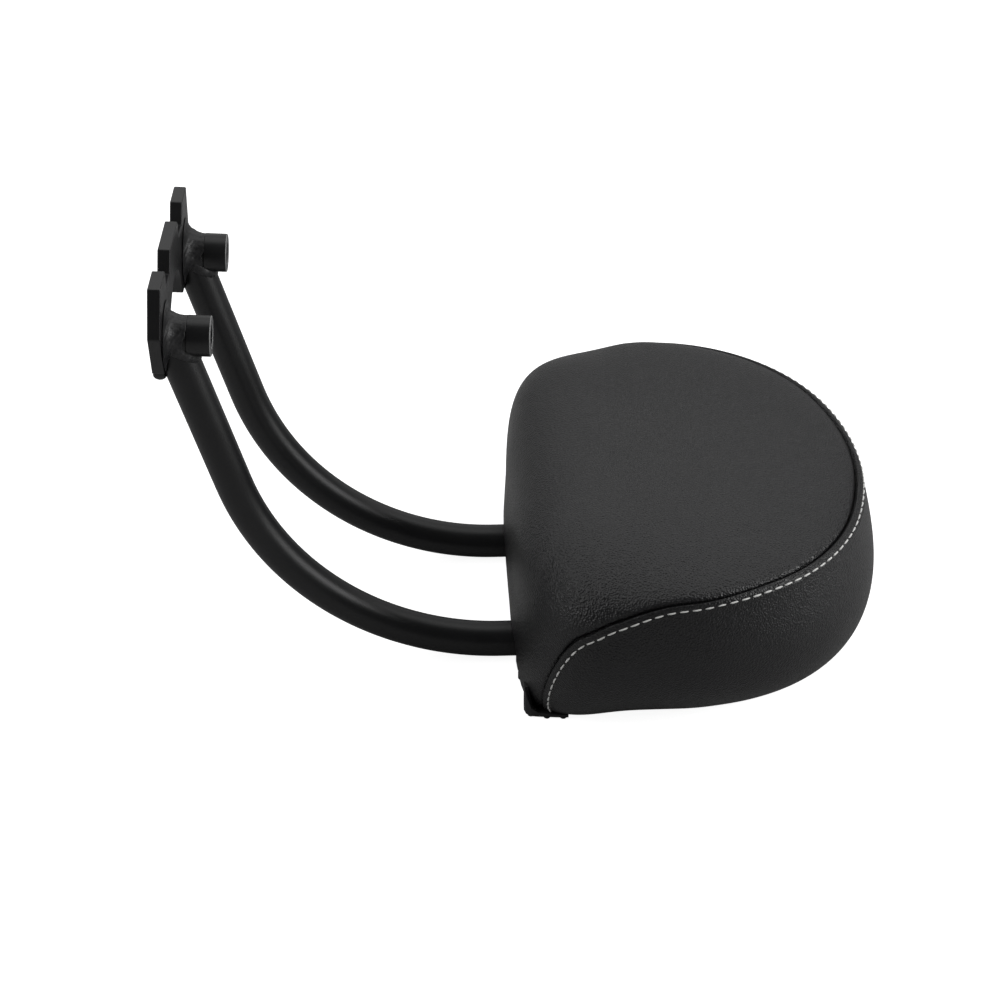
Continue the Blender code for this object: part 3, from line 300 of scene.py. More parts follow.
# Stage; a light is its name, place and aim from the bend, width, height and power
FLOOR_HALF_WIDTH = 6.0
FLOOR_DROP = 0.05 * MM
FLOOR_GLOW = 0.9
AMBIENT = 0.07
LIGHTS = (
    ("back", (0.05, 1.02, 0.82), (0.05, 0.0, 0.0), 2.8, 1.4, 6.2),
    ("top", (0.05, 0.3, 1.25), (0.05, 0.0, 0.0), 2.4, 0.7, 5.2),
    ("right_fill", (1.2, -0.4, 0.6), (0.1, 0.0, 0.05), 0.7, 0.9, 9.0),
    ("left_fill", (-1.1, -0.3, 0.7), (0.0, 0.0, 0.05), 0.7, 0.9, 4.0),
)

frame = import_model()
BEND_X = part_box("arm_tube_right")[1].x - UNDER_PAD_LENGTH


# Materials

GLOSS_SPREAD = 0.06                # of roughness, either way


def new_material(name):
    made = bpy.data.materials.new(name)
    made.use_nodes = True
    nodes = made.node_tree.nodes
    return made, nodes, made.node_tree.links, nodes["Principled BSDF"]


def add_node(nodes, kind, **values):
    """Adds a node and sets inputs by name."""
    node = nodes.new(kind)
    for key, value in values.items():
        node.inputs[key.replace("_", " ")].default_value = value
    return node


def object_coordinates(nodes):
    return nodes.new("ShaderNodeTexCoord").outputs["Object"]


def noise(nodes, links, **values):
    """Noise texture in the object's own coordinates."""
    node = add_node(nodes, "ShaderNodeTexNoise", **values)
    links.new(object_coordinates(nodes), node.inputs["Vector"])
    return node


def bump(nodes, links, height, strength, distance, previous=None):
    node = add_node(nodes, "ShaderNodeBump", Strength=strength, Distance=distance)
    links.new(height, node.inputs["Height"])
    if previous is not None:
        links.new(previous, node.inputs["Normal"])
    return node.outputs["Normal"]


def colour_ramp(nodes, links, factor, stops):
    ramp = nodes.new("ShaderNodeValToRGB")
    elements = ramp.color_ramp.elements
    elements[0].position, elements[1].position = stops[0][0], stops[-1][0]
    elements[0].color, elements[1].color = (*stops[0][1], 1.0), (*stops[-1][1], 1.0)
    for position, colour in stops[1:-1]:
        elements.new(position).color = (*colour, 1.0)
    links.new(factor, ramp.inputs["Fac"])
    return ramp.outputs["Color"]


def value_range(nodes, links, value, low, high):
    """Maps a value from 0..1 to low..high."""
    node = add_node(nodes, "ShaderNodeMapRange", To_Min=low, To_Max=high)
    links.new(value, node.inputs["Value"])
    return node.outputs["Result"]


def toned(shade, factor):
    return [min(part * factor, 1.0) for part in shade]


def leather(name, shade, roughness, grain):
    """Pebble-grained synthetic leather."""
    made, nodes, links, shader = new_material(name)
    cells = add_node(nodes, "ShaderNodeTexVoronoi", Scale=1.0 / grain, Randomness=1.0)
    cells.feature = "SMOOTH_F1"
    cells.inputs["Smoothness"].default_value = 0.55
    warp = noise(nodes, links, Scale=420.0, Detail=2.0, Roughness=0.6)
    mixed = nodes.new("ShaderNodeMix")
    mixed.data_type = "VECTOR"
    mixed.inputs["Factor"].default_value = 0.0003
    links.new(object_coordinates(nodes), mixed.inputs[4])
    links.new(warp.outputs["Color"], mixed.inputs[5])
    links.new(mixed.outputs[1], cells.inputs["Vector"])
    fine = noise(nodes, links, Scale=2600.0, Detail=3.0, Roughness=0.65)
    broad = noise(nodes, links, Scale=45.0, Detail=3.0, Roughness=0.5)
    normal = bump(nodes, links, broad.outputs["Fac"], strength=0.1, distance=0.8 * MM)
    normal = bump(nodes, links, cells.outputs["Distance"], strength=0.9, distance=0.5 * MM, previous=normal)
    normal = bump(nodes, links, fine.outputs["Fac"], strength=0.18, distance=0.12 * MM, previous=normal)
    links.new(normal, shader.inputs["Normal"])
    stops = [(0.0, toned(shade, 1.12)), (1.0, toned(shade, 0.72))]
    links.new(colour_ramp(nodes, links, cells.outputs["Distance"], stops), shader.inputs["Base Color"])
    rough = value_range(nodes, links, broad.outputs["Fac"], roughness - 0.05, roughness + 0.06)
    links.new(rough, shader.inputs["Roughness"])
    shader.inputs["Specular IOR Level"].default_value = 0.5
    return made


def coat(name, relief, broad, strength, distance, stops, roughness, spread):
    """Finish with one noise in its relief and another in its tone and gloss."""
    made, nodes, links, shader = new_material(name)
    grain = noise(nodes, links, **relief)
    links.new(bump(nodes, links, grain.outputs["Fac"], strength, distance), shader.inputs["Normal"])
    cloud = noise(nodes, links, **broad).outputs["Fac"]
    links.new(colour_ramp(nodes, links, cloud, stops), shader.inputs["Base Color"])
    shader.inputs["Roughness"].default_value = roughness
    if spread > 0.0:
        rough = value_range(nodes, links, cloud, roughness - spread, roughness + spread)
        links.new(rough, shader.inputs["Roughness"])
    return made


def powder_coat(name, shade, roughness):
    """Satin powder coat: fine orange peel and faintly uneven gloss."""
    peel, broad = dict(Scale=900.0, Detail=2.0, Roughness=0.5), dict(Scale=60.0, Detail=4.0, Roughness=0.6)
    stops = [(0.3, toned(shade, 0.85)), (0.7, toned(shade, 1.15))]
    return coat(name, peel, broad, 0.12, 0.15 * MM, stops, roughness, GLOSS_SPREAD)


def weld_coat():
    """Powder coat over a rippled weld."""
    lumps = dict(Scale=260.0, Detail=4.0, Roughness=0.6)
    stops = [(0.3, (0.012, 0.012, 0.013)), (0.7, (0.026, 0.026, 0.027))]
    return coat("coated_weld", lumps, lumps, 0.5, 1.2 * MM, stops, 0.4, 0.1)


def plain_finish(name, shade, roughness, scale, depth, metallic=0.0):
    """Finish with a fine all-over texture."""
    grain = dict(Scale=scale, Detail=3.0, Roughness=0.55)
    stops = [(0.25, toned(shade, 0.82)), (0.75, toned(shade, 1.15))]
    made = coat(name, grain, grain, 0.3, depth, stops, roughness, GLOSS_SPREAD)
    made.node_tree.nodes["Principled BSDF"].inputs["Metallic"].default_value = metallic
    return made


def thread_material():
    twist = dict(Scale=3200.0, Detail=2.0, Roughness=0.6)
    stops = [(0.3, (0.85, 0.85, 0.83)), (0.7, (0.98, 0.98, 0.95))]
    return coat("pale_thread", twist, twist, 0.5, 0.2 * MM, stops, 0.7, 0.0)


# Mesh helpers

def add_object(name, data):
    made = bpy.data.objects.new(name, data)
    bpy.context.scene.collection.objects.link(made)
    return made


def new_piece(name, mesh, slot=None, finish=None, smooth=True):
    """Adds a mesh that rides on the frame's body, in its slot's finish unless another is given."""
    piece = add_object(name, mesh)
    mesh.materials.clear()
    mesh.materials.append(finish or FINISHES[slot])
    if smooth:
        mesh.shade_smooth()
    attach(piece, "root")
    return piece


def finished(work, name):
    """Mesh of a bmesh, with its faces turned outwards."""
    made = bpy.data.meshes.new(name)
    bmesh.ops.recalc_face_normals(work, faces=work.faces)
    work.to_mesh(made)
    work.free()
    return made


def grid_mesh(name, rows, around=False, start_pole=None, end_pole=None):
    """Mesh of rows of points; around joins each row's ends, a pole closes an end."""
    work = bmesh.new()
    lines = [[work.verts.new(point) for point in row] for row in rows]
    count = len(lines[0])
    spans = count if around else count - 1
    for lower, upper in zip(lines, lines[1:]):
        for index in range(spans):
            after = (index + 1) % count
            work.faces.new((lower[index], lower[after], upper[after], upper[index]))
    for pole, line in ((start_pole, lines[0]), (end_pole, lines[-1])):
        if pole is None:
            continue
        tip = work.verts.new(pole)
        for index in range(spans):
            work.faces.new((line[index], line[(index + 1) % count], tip))
    return finished(work, name)


def thicken(piece, thickness):
    shell = piece.modifiers.new("thickness", "SOLIDIFY")
    shell.thickness = thickness
    shell.offset = -1.0


def ring_angles(sides):
    return [2.0 * math.pi * side / sides for side in range(sides)]


def ring(radius, heights):
    """Points at one radius about local Z, one for each height."""
    return [(radius * math.cos(angle), radius * math.sin(angle), height)
            for angle, height in zip(ring_angles(len(heights)), heights)]


def point_tree(points):
    tree = KDTree(len(points))
    for index, point in enumerate(points):
        tree.insert(point, index)
    tree.balance()
    return tree


# Pad surface

def blend(foot, rim, share):
    return foot + (rim - foot) * share


def smooth_step(share):
    share = np.clip(share, 0.0, 1.0)
    return share * share * (3.0 - 2.0 * share)


def off_front(turn):
    """Turn away from the rounded end, from 0 to pi on either side."""
    return np.minimum(np.abs(turn), 2.0 * math.pi - np.abs(turn))


def back_share(turn):
    """How far the rear's lower rim and fuller crown have taken over, from 0 to 1."""
    return smooth_step((off_front(turn) - BACK_START) / (BACK_END - BACK_START))


def superellipse(along, across, reach, half_width, roundness):
    sum_of_powers = (np.abs(along) / reach) ** roundness + (np.abs(across) / half_width) ** roundness
    return sum_of_powers ** (-1.0 / roundness)


def pad_points(turn, rise):
    """Points on the outer skin; turn 0 is the rounded end, rise 0 the foot, 1 the rim, 2 the crown."""
    turn, rise = np.broadcast_arrays(np.asarray(turn, float), np.asarray(rise, float))
    front = np.cos(turn) >= 0.0
    along = np.where(front, PAD_RIM_FRONT, PAD_RIM_BACK) * np.cos(turn)
    across = PAD_RIM_HALF_WIDTH * np.sin(turn)
    size = np.hypot(along, across)
    along, across = along / size, across / size
    back = back_share(turn)
    rim = blend(PAD_RIM_HEIGHT, BACK_RIM_HEIGHT, back)
    height = blend(FOOT_HEIGHT, rim, np.clip(rise, 0.0, 1.0))
    share = (height - FOOT_HEIGHT) / (PAD_RIM_HEIGHT - FOOT_HEIGHT)
    swell = np.sin(math.pi * share ** WALL_SWELL_LOWNESS)
    half_width = blend(PAD_FOOT_HALF_WIDTH, PAD_RIM_HALF_WIDTH, share) + WALL_SWELL_SIDE * swell
    ahead = blend(PAD_FOOT_FRONT, PAD_RIM_FRONT, share) + WALL_SWELL_FRONT * swell
    behind = blend(PAD_FOOT_BACK, PAD_RIM_BACK, share) + WALL_SWELL_BACK * swell
    reach = np.where(front, ahead, behind)
    past = smooth_step((off_front(turn) - CORNER_START) / (CORNER_END - CORNER_START))
    front_roundness = blend(FRONT_ROUNDNESS_FOOT, FRONT_ROUNDNESS_RIM, share)
    back_roundness = blend(BACK_ROUNDNESS_FOOT, BACK_ROUNDNESS_RIM, share)
    distance = superellipse(along, across, reach, half_width, blend(front_roundness, back_roundness, past))
    flare = CORNER_FLARE * np.exp(-((off_front(turn) - FLARE_TURN) / FLARE_SPREAD) ** 2)
    flare = flare * np.clip(1.0 - share / FLARE_TOP, 0.0, 1.0) ** 2 * np.sign(across)
    lift = np.clip(rise - 1.0, 0.0, 1.0) * math.pi / 2.0
    crown = blend(CROWN_ROUNDNESS, BACK_CROWN_ROUNDNESS, back)
    over = superellipse(np.cos(lift), np.sin(lift), 1.0, 1.0, crown)
    distance = distance * np.cos(lift) * over
    height = height + (PAD_THICKNESS - rim) * np.sin(lift) * over
    return np.stack([BEND_X + PAD_CENTRE + along * distance, across * distance + flare, height], axis=-1)


def pad_normals(turn, rise):
    turn, rise = np.asarray(turn, float), np.asarray(rise, float)
    high = np.minimum(rise + NORMAL_STEP, TOP_LAST_RISE)
    low = np.minimum(np.maximum(rise - NORMAL_STEP, 0.0), high - NORMAL_STEP)
    around = pad_points(turn + NORMAL_STEP, rise) - pad_points(turn - NORMAL_STEP, rise)
    up = pad_points(turn, high) - pad_points(turn, low)
    normal = np.cross(around, up)
    return normal / np.linalg.norm(normal, axis=-1, keepdims=True)


def seam_heights(turn):
    """Height of the seam at each turn, a smooth curve through the path's points."""
    turns = np.radians([point[0] for point in SEAM_PATH])
    heights = np.array([point[1] for point in SEAM_PATH]) * MM
    slopes = np.gradient(heights, turns)
    away = np.clip(off_front(turn), 0.0, CORNER_TURN)
    index = np.clip(np.searchsorted(turns, away) - 1, 0, len(turns) - 2)
    span = turns[index + 1] - turns[index]
    share = (away - turns[index]) / span
    rest = 1.0 - share
    made = heights[index] * rest ** 2 * (1.0 + 2.0 * share)
    made += heights[index + 1] * share ** 2 * (3.0 - 2.0 * share)
    made += span * share * rest * (slopes[index] * rest - slopes[index + 1] * share)
    return np.maximum(made, FOOT_HEIGHT)


def seam_rises(turn):
    """Where the seam crosses the skin at each turn, found by halving."""
    heights = seam_heights(turn)
    low, high = np.zeros_like(turn), np.full_like(turn, SEAM_RISE_LIMIT)
    for _ in range(HALVINGS):
        middle = (low + high) / 2.0
        under = pad_points(turn, middle)[:, 2] < heights
        low, high = np.where(under, middle, low), np.where(under, high, middle)
    return low


def seam_tree(samples):
    turn = np.linspace(-CORNER_TURN, CORNER_TURN, samples)
    return point_tree(pad_points(turn, seam_rises(turn)))


def cover_starts(turn):
    """Rise of the top panel's lower edge: the seam, then the hem over the tubes."""
    away = off_front(turn)
    past = smooth_step((away - CORNER_TURN - BACK_HEM_START) / BACK_HEM_RAMP)
    rim = blend(PAD_RIM_HEIGHT, BACK_RIM_HEIGHT, back_share(turn))
    hem = (BACK_HEM_HEIGHT - FOOT_HEIGHT) / (rim - FOOT_HEIGHT) * past
    return np.where(away <= CORNER_TURN, seam_rises(np.minimum(away, CORNER_TURN)), hem)


def from_seam(points):
    """Distance of every point from the nearest point of the seam."""
    tree = seam_tree(SEAM_SAMPLES)
    return np.array([tree.find(point)[2] for point in points.reshape(-1, 3)]).reshape(points.shape[:-1])


# Simulated swell of the padding

def closed_pad(inset):
    """Whole outer skin as one closed mesh, slightly smaller than the pad."""
    turn = np.linspace(-math.pi, math.pi, SIM_COLUMNS + 1)[:-1]
    rows = [pad_points(turn, rise) - pad_normals(turn, rise) * inset
            for rise in (*SIM_WALL_RISES, *SIM_CROWN_RISES)]
    foot = Vector((BEND_X + PAD_CENTRE, 0.0, FOOT_HEIGHT))
    crown = Vector((BEND_X + PAD_CENTRE, 0.0, PAD_THICKNESS - inset))
    return grid_mesh("padding", rows, around=True, start_pole=foot, end_pole=crown)


def simulate_swell():
    """Inflates the padding between its seams. Returns the resting points and how far each moved."""
    padding = add_object("padding", closed_pad(SIM_INSET))
    remesh = padding.modifiers.new("even", "REMESH")
    remesh.mode = "VOXEL"
    remesh.voxel_size = SIM_VOXEL
    graph = bpy.context.evaluated_depsgraph_get()
    even = bpy.data.meshes.new_from_object(padding.evaluated_get(graph))
    padding.modifiers.clear()
    padding.data = even
    rest = np.array([vertex.co[:] for vertex in even.vertices])
    tree = seam_tree(SIM_SEAM_SAMPLES)
    held = padding.vertex_groups.new(name="held")
    for index, point in enumerate(rest):
        near_seam = 1.0 - min(tree.find(point)[2] / SIM_HOLD_REACH, 1.0)
        near_floor = 1.0 - min(max(point[2] - FOOT_HEIGHT, 0.0) / SIM_HOLD_REACH, 1.0)
        held.add([index], max(near_seam, near_floor), "REPLACE")
    cloth = padding.modifiers.new("cloth", "CLOTH")
    settings = cloth.settings
    settings.use_pressure = True
    settings.uniform_pressure_force = SIM_PRESSURE
    settings.vertex_group_mass = "held"
    settings.effector_weights.gravity = 0.0
    settings.quality = SIM_QUALITY
    cloth.collision_settings.use_collision = False
    scene = bpy.context.scene
    for number in range(1, SIM_FRAMES + 1):
        scene.frame_set(number)
    graph = bpy.context.evaluated_depsgraph_get()
    swollen = bpy.data.meshes.new_from_object(padding.evaluated_get(graph))
    moved = np.array([vertex.co[:] for vertex in swollen.vertices]) - rest
    scene.frame_set(1)
    bpy.data.objects.remove(padding)
    return rest, smooth_field(rest, moved, SIM_SMOOTHING)


def smooth_field(points, values, reach):
    """Averages a field over each point's surroundings."""
    made = np.empty_like(values)
    for start in range(0, len(points), SIM_CHUNK):
        part = points[start:start + SIM_CHUNK]
        gap = ((part[:, None, :] - points[None, :, :]) ** 2).sum(axis=-1)
        share = np.exp(-gap / (2.0 * reach ** 2))
        made[start:start + SIM_CHUNK] = share @ values / share.sum(axis=1, keepdims=True)
    return made


def swell_at(points, normals, swell):
    """How far each point is pushed out along its normal by the simulated padding."""
    if swell is None:
        return np.zeros(points.shape[:-1])
    rest, moved = swell
    tree = point_tree(rest)
    flat, out = points.reshape(-1, 3), normals.reshape(-1, 3)
    pushed = np.zeros(len(flat))
    for index, point in enumerate(flat):
        total, weight = np.zeros(3), 0.0
        for _, near, gap in tree.find_n(point, SIM_NEIGHBOURS):
            share = 1.0 / (gap + MM) ** 2
            total += moved[near] * share
            weight += share
        pushed[index] = float(np.dot(total / weight, out[index]))
    pushed = np.clip(pushed * SIM_SHARE, -SIM_SINK, SIM_LIMIT)
    return pushed.reshape(points.shape[:-1])


# Upholstery

def skin_rows(turn, first, last, spread):
    """Rows of the skin from one rise to another: points, normals and distances from the seam."""
    rise = first[None, :] + (last - first[None, :]) * spread[:, None]
    points, normals = pad_points(turn, rise), pad_normals(turn, rise)
    return points, normals, from_seam(points)


def make_top_panel(finish, swell):
    """Panel over the top and down the straight rear wall, puffed up just inside its seam."""
    turn = np.linspace(-math.pi, math.pi, TOP_COLUMNS + 1)[:-1]
    spread = (np.arange(TOP_ROWS) / TOP_ROWS) ** TOP_ROW_SPREAD
    points, normals, along = skin_rows(turn, cover_starts(turn), TOP_LAST_RISE, spread)
    groove = -GROOVE_DEPTH * np.exp(-(along / GROOVE_WIDTH) ** GROOVE_SHARPNESS)
    size = blend(*SHOULDER_PUFF, smooth_step((off_front(turn) - PUFF_START) / (PUFF_END - PUFF_START)))
    puff = size[None, :] * (along / SHOULDER_REACH) * np.exp(1.0 - along / SHOULDER_REACH)
    settle = smooth_step(along / TOP_SWELL_START)
    offset = groove + puff + swell_at(points, normals, swell) * settle
    points = points + normals * offset[..., None]
    crown = Vector((BEND_X + PAD_CENTRE, 0.0, float(points[-1, :, 2].mean())))
    mesh = grid_mesh("pad_top_panel", points, around=True, end_pole=crown)
    panel = new_piece("pad_top_panel", mesh, "black_synthetic_leather", finish)
    thicken(panel, LEATHER_THICKNESS)
    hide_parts("top_cover")


def lip_rises(turn):
    return blend(*LIP_RISE, smooth_step((off_front(turn) - LIP_START) / (LIP_END - LIP_START)))


def band_profile(down, turn):
    """Outset of the band below the seam: folded lip, stitched hollow, then the wall."""
    edge = np.clip(down / LIP_EDGE, 0.0, 1.0)
    lip = -GROOVE_DEPTH * (1.0 - edge) + lip_rises(turn) * np.sqrt(1.0 - (1.0 - edge) ** 2)
    fade = 1.0 - smooth_step((down - STITCH_DROP) / LIP_FADE)
    hollow = -STITCH_HOLLOW * np.exp(-((down - STITCH_DROP) / STITCH_HOLLOW_WIDTH) ** 2)
    return lip * np.where(down < STITCH_DROP, 1.0, fade) + hollow


def make_side_band(swell):
    """Wall panel from the folded lip at the seam down to the tucked hem."""
    turn = np.linspace(-BAND_END, BAND_END, BAND_COLUMNS)
    spread = (np.arange(BAND_ROWS + 1) / BAND_ROWS) ** BAND_ROW_SPREAD
    points, normals, down = skin_rows(turn, seam_rises(turn), 0.0, spread)
    settle = smooth_step(down / BAND_SWELL_START)
    settle = settle * smooth_step((points[..., 2] - FOOT_HEIGHT) / FOOT_SWELL_START)
    offset = band_profile(down, turn) + swell_at(points, normals, swell) * settle
    points = points + normals * offset[..., None]
    mesh = grid_mesh("pad_side_band", list(points) + hem_rows(turn))
    # The band takes the darker copy of the leather: painted shade.
    band = new_piece("pad_side_band", mesh, "black_synthetic_leather")
    thicken(band, LEATHER_THICKNESS)
    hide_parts("side_band", "seam_fold")


def hem_rows(turn):
    """Rows of the hem, curling from the wall's foot to its flat inner edge."""
    foot = pad_points(turn, 0.0)
    inward = -pad_normals(turn, 0.0)
    inward[:, 2] = 0.0
    inward /= np.linalg.norm(inward, axis=-1, keepdims=True)
    up = np.array([0.0, 0.0, 1.0])
    centre = foot + (inward * math.cos(HEM_START) + up * math.sin(HEM_START)) * HEM_RADIUS
    rows = []
    for step in range(1, HEM_CURL_STEPS + 1):
        angle = HEM_START + (math.pi / 2.0 - HEM_START) * step / HEM_CURL_STEPS
        rows.append(centre - (inward * math.cos(angle) + up * math.sin(angle)) * HEM_RADIUS)
    lowest = rows[-1]
    for step in range(1, HEM_FLAT_STEPS + 1):
        rows.append(lowest + inward * HEM_WIDTH * step / HEM_FLAT_STEPS)
    return rows


def stitch_line():
    """Points and outward directions along the skin, one stitch drop below the seam."""
    turn = np.linspace(-BAND_END, BAND_END, STITCH_SAMPLES)
    rise = seam_rises(turn)
    seam, out = pad_points(turn, rise), pad_normals(turn, rise)
    heading = np.gradient(seam, axis=0)
    aside = np.cross(heading / np.linalg.norm(heading, axis=-1, keepdims=True), out) * STITCH_DROP
    target = seam + aside * np.where(aside[:, 2:] > 0.0, -1.0, 1.0)
    for _ in range(STITCH_TRIES):
        here = pad_points(turn, rise)
        around = (pad_points(turn + STITCH_STEP, rise) - here) / STITCH_STEP
        up = (here - pad_points(turn, rise - STITCH_STEP)) / STITCH_STEP
        missing = target - here
        on_around, on_up = (missing * around).sum(axis=-1), (missing * up).sum(axis=-1)
        around_square, up_square = (around ** 2).sum(axis=-1), (up ** 2).sum(axis=-1)
        cross = (around * up).sum(axis=-1)
        square = around_square * up_square - cross ** 2
        turn = turn + STITCH_DAMPING * (on_around * up_square - on_up * cross) / square
        rise = rise + STITCH_DAMPING * (on_up * around_square - on_around * cross) / square
        rise = np.maximum(rise, STITCH_LOWEST_RISE)
    out = pad_normals(turn, rise)
    return pad_points(turn, rise) + out * (lip_rises(turn) - STITCH_DEPTH)[:, None], out


def along_line(at, length, values):
    return Vector([np.interp(at, length, values[:, axis]) for axis in range(3)])


def make_stitches(finish):
    """Row of straight stitches along the lip, each arched with its ends pulled in."""
    line, out = stitch_line()
    length = np.concatenate([[0.0], np.cumsum(np.linalg.norm(np.diff(line, axis=0), axis=-1))])
    work = bmesh.new()
    for number in range(int(length[-1] / STITCH_PITCH)):
        start = (number + 0.5) * STITCH_PITCH - STITCH_LENGTH / 2.0
        loops = []
        for step in range(THREAD_RINGS):
            share = step / (THREAD_RINGS - 1)
            at = start + STITCH_LENGTH * share
            place, ahead = along_line(at, length, line), along_line(at + MM, length, line)
            outward = along_line(at, length, out).normalized()
            aside = (ahead - place).normalized().cross(outward)
            arch = math.sin(math.pi * share)
            middle = place + outward * (THREAD_ARCH * arch ** 0.5 - THREAD_SINK)
            radius = THREAD_RADIUS * (THREAD_END + (1.0 - THREAD_END) * arch ** 0.35)
            loops.append([work.verts.new(middle + (aside * math.cos(a) + outward * math.sin(a)) * radius)
                          for a in ring_angles(THREAD_SIDES)])
        for lower, upper in zip(loops, loops[1:]):
            for side in range(THREAD_SIDES):
                after = (side + 1) % THREAD_SIDES
                work.faces.new((lower[side], lower[after], upper[after], upper[side]))
        work.faces.new(loops[0])
        work.faces.new(loops[-1])
    new_piece("seam_stitches", finished(work, "seam_stitches"), finish=finish)


def make_pan_corner(side, label):
    """Corner of the moulded pan that shows below the leather, on three small feet."""
    path = [Vector((BEND_X + along * MM, across * MM * side)) for along, across, _ in PAN_CORNER_PATH]
    sections = []
    for index, (_, _, top) in enumerate(PAN_CORNER_PATH):
        heading = (path[min(index + 1, len(path) - 1)] - path[max(index - 1, 0)]).normalized()
        inward = Vector((heading.y, -heading.x)) * side
        inside, deep = path[index] + inward * PAN_CORNER_WALL, path[index] + inward * PAN_SHELF_DEPTH
        sections.append(((*path[index], PAN_CORNER_LOW), (*path[index], top * MM), (*inside, top * MM),
                         (*inside, PAN_SHELF_TOP), (*deep, PAN_SHELF_TOP), (*deep, PAN_CORNER_LOW)))
    work = bmesh.new()
    rows = [[work.verts.new(point) for point in row] for row in zip(*sections)]
    for row, after in zip(rows, rows[1:] + rows[:1]):
        for index in range(len(path) - 1):
            work.faces.new((row[index], row[index + 1], after[index + 1], after[index]))
    for end in (0, -1):
        work.faces.new([row[end] for row in rows])
    for along, across in PAN_CORNER_FEET:
        place = Matrix.Translation((BEND_X + along * MM, across * MM * side, PAN_FOOT_MIDDLE))
        bmesh.ops.create_cone(work, cap_ends=True, segments=FOOT_SIDES, depth=PAN_FOOT_HEIGHT, matrix=place,
                              radius1=PAN_FOOT_RADIUS * PAN_FOOT_TAPER, radius2=PAN_FOOT_RADIUS)
    mesh = finished(work, f"pan_corner_{label}")
    corner = new_piece(f"pan_corner_{label}", mesh, "black_moulded_plastic")
    mesh.set_sharp_from_angle(angle=SHARP_ANGLE)
    soften = corner.modifiers.new("arrises", "BEVEL")
    soften.width, soften.segments = PAN_CORNER_EDGE_BREAK, 2


# Welded frame

RISER_DIRECTION = Vector((-math.cos(BEND_ANGLE), 0.0, math.sin(BEND_ANGLE)))
RISER_TOP = RISER_DIRECTION * RISER_LENGTH + Vector((
    BEND_X - BEND_RADIUS * math.sin(BEND_ANGLE), 0.0,
    TUBE_DIAMETER / 2.0 + BEND_RADIUS * (1.0 - math.cos(BEND_ANGLE))))
PLATE_NORMAL = Vector((math.cos(PLATE_TILT), 0.0, -math.sin(PLATE_TILT)))
PLATE_UP = Vector((math.sin(PLATE_TILT), 0.0, math.cos(PLATE_TILT)))
PLATE_FRONT = RISER_TOP - PLATE_NORMAL * PLATE_SETBACK
SIDEWAYS = Vector((0.0, 1.0, 0.0))


def tube_shift(side):
    return SIDEWAYS * (side * TUBE_SPACING / 2.0)


def plate_frame(side):
    """Local frame of the plate at a boss: X across, Y up the plate, Z out along the boss."""
    turn = Matrix((SIDEWAYS, PLATE_UP, PLATE_NORMAL)).transposed()
    return Matrix.Translation(PLATE_FRONT + tube_shift(side)) @ turn.to_4x4()


def baked(mesh, build):
    """Mesh after the modifiers that build(holder) adds; helper objects are removed again."""
    before = set(bpy.data.objects)
    holder = add_object("holder", mesh)
    build(holder)
    bpy.context.view_layer.update()
    graph = bpy.context.evaluated_depsgraph_get()
    made = bpy.data.meshes.new_from_object(holder.evaluated_get(graph))
    for extra in set(bpy.data.objects) - before:
        bpy.data.objects.remove(extra)
    return made


def add_cut(holder, mesh, matrix=Matrix.Identity(4)):
    tool = add_object("tool", mesh)
    tool.matrix_world = matrix
    step = holder.modifiers.new("cut", "BOOLEAN")
    step.operation, step.solver, step.object = "DIFFERENCE", "EXACT", tool


def box_mesh(low, high):
    work = bmesh.new()
    size = [top - bottom for bottom, top in zip(low, high)]
    centre = [(top + bottom) / 2.0 for bottom, top in zip(low, high)]
    bmesh.ops.create_cube(work, size=1.0, matrix=Matrix.Translation(centre) @ Matrix.Diagonal((*size, 1.0)))
    return finished(work, "box")


def turned_mesh(name, profile, sides):
    """Solid of revolution about local Z of a closed profile of (radius, height)."""
    rows = [ring(radius, [height] * sides) for radius, height in profile + profile[:1]]
    made = grid_mesh(name, rows, around=True)
    work = bmesh.new()
    work.from_mesh(made)
    bmesh.ops.remove_doubles(work, verts=work.verts, dist=0.001 * MM)
    bmesh.ops.recalc_face_normals(work, faces=work.faces)
    work.to_mesh(made)
    work.free()
    return made


def rounded_corner(corner, before, after, radius):
    """Points that replace a corner of a profile by an arc that touches both its edges."""
    corner, before, after = Vector(corner), Vector(before), Vector(after)
    start = corner + (before - corner).normalized() * radius
    end = corner + (after - corner).normalized() * radius
    points = []
    for step in range(ARC_STEPS + 1):
        share = step / ARC_STEPS
        points.append(tuple(start * (1 - share) ** 2 + corner * 2 * share * (1 - share) + end * share ** 2))
    return points


def rounded_profile(points, radii):
    made = []
    for index, (point, radius) in enumerate(zip(points, radii)):
        if radius == 0.0:
            made.append(point)
            continue
        made += rounded_corner(point, points[index - 1], points[(index + 1) % len(points)], radius)
    return made


def tube_offset(along, angle):
    up = along.cross(SIDEWAYS)
    return (SIDEWAYS * math.cos(angle) + up * math.sin(angle)) * (TUBE_DIAMETER / 2.0)


def saddle_point(offset):
    """Where a line on the riser's skin meets the boss."""
    depth = math.sqrt(max((BOSS_DIAMETER / 2.0) ** 2 - offset.y ** 2, 0.0))
    start = RISER_TOP + offset - PLATE_FRONT
    run = (-depth - start.dot(PLATE_UP)) / RISER_DIRECTION.dot(PLATE_UP)
    return RISER_TOP + offset + RISER_DIRECTION * run


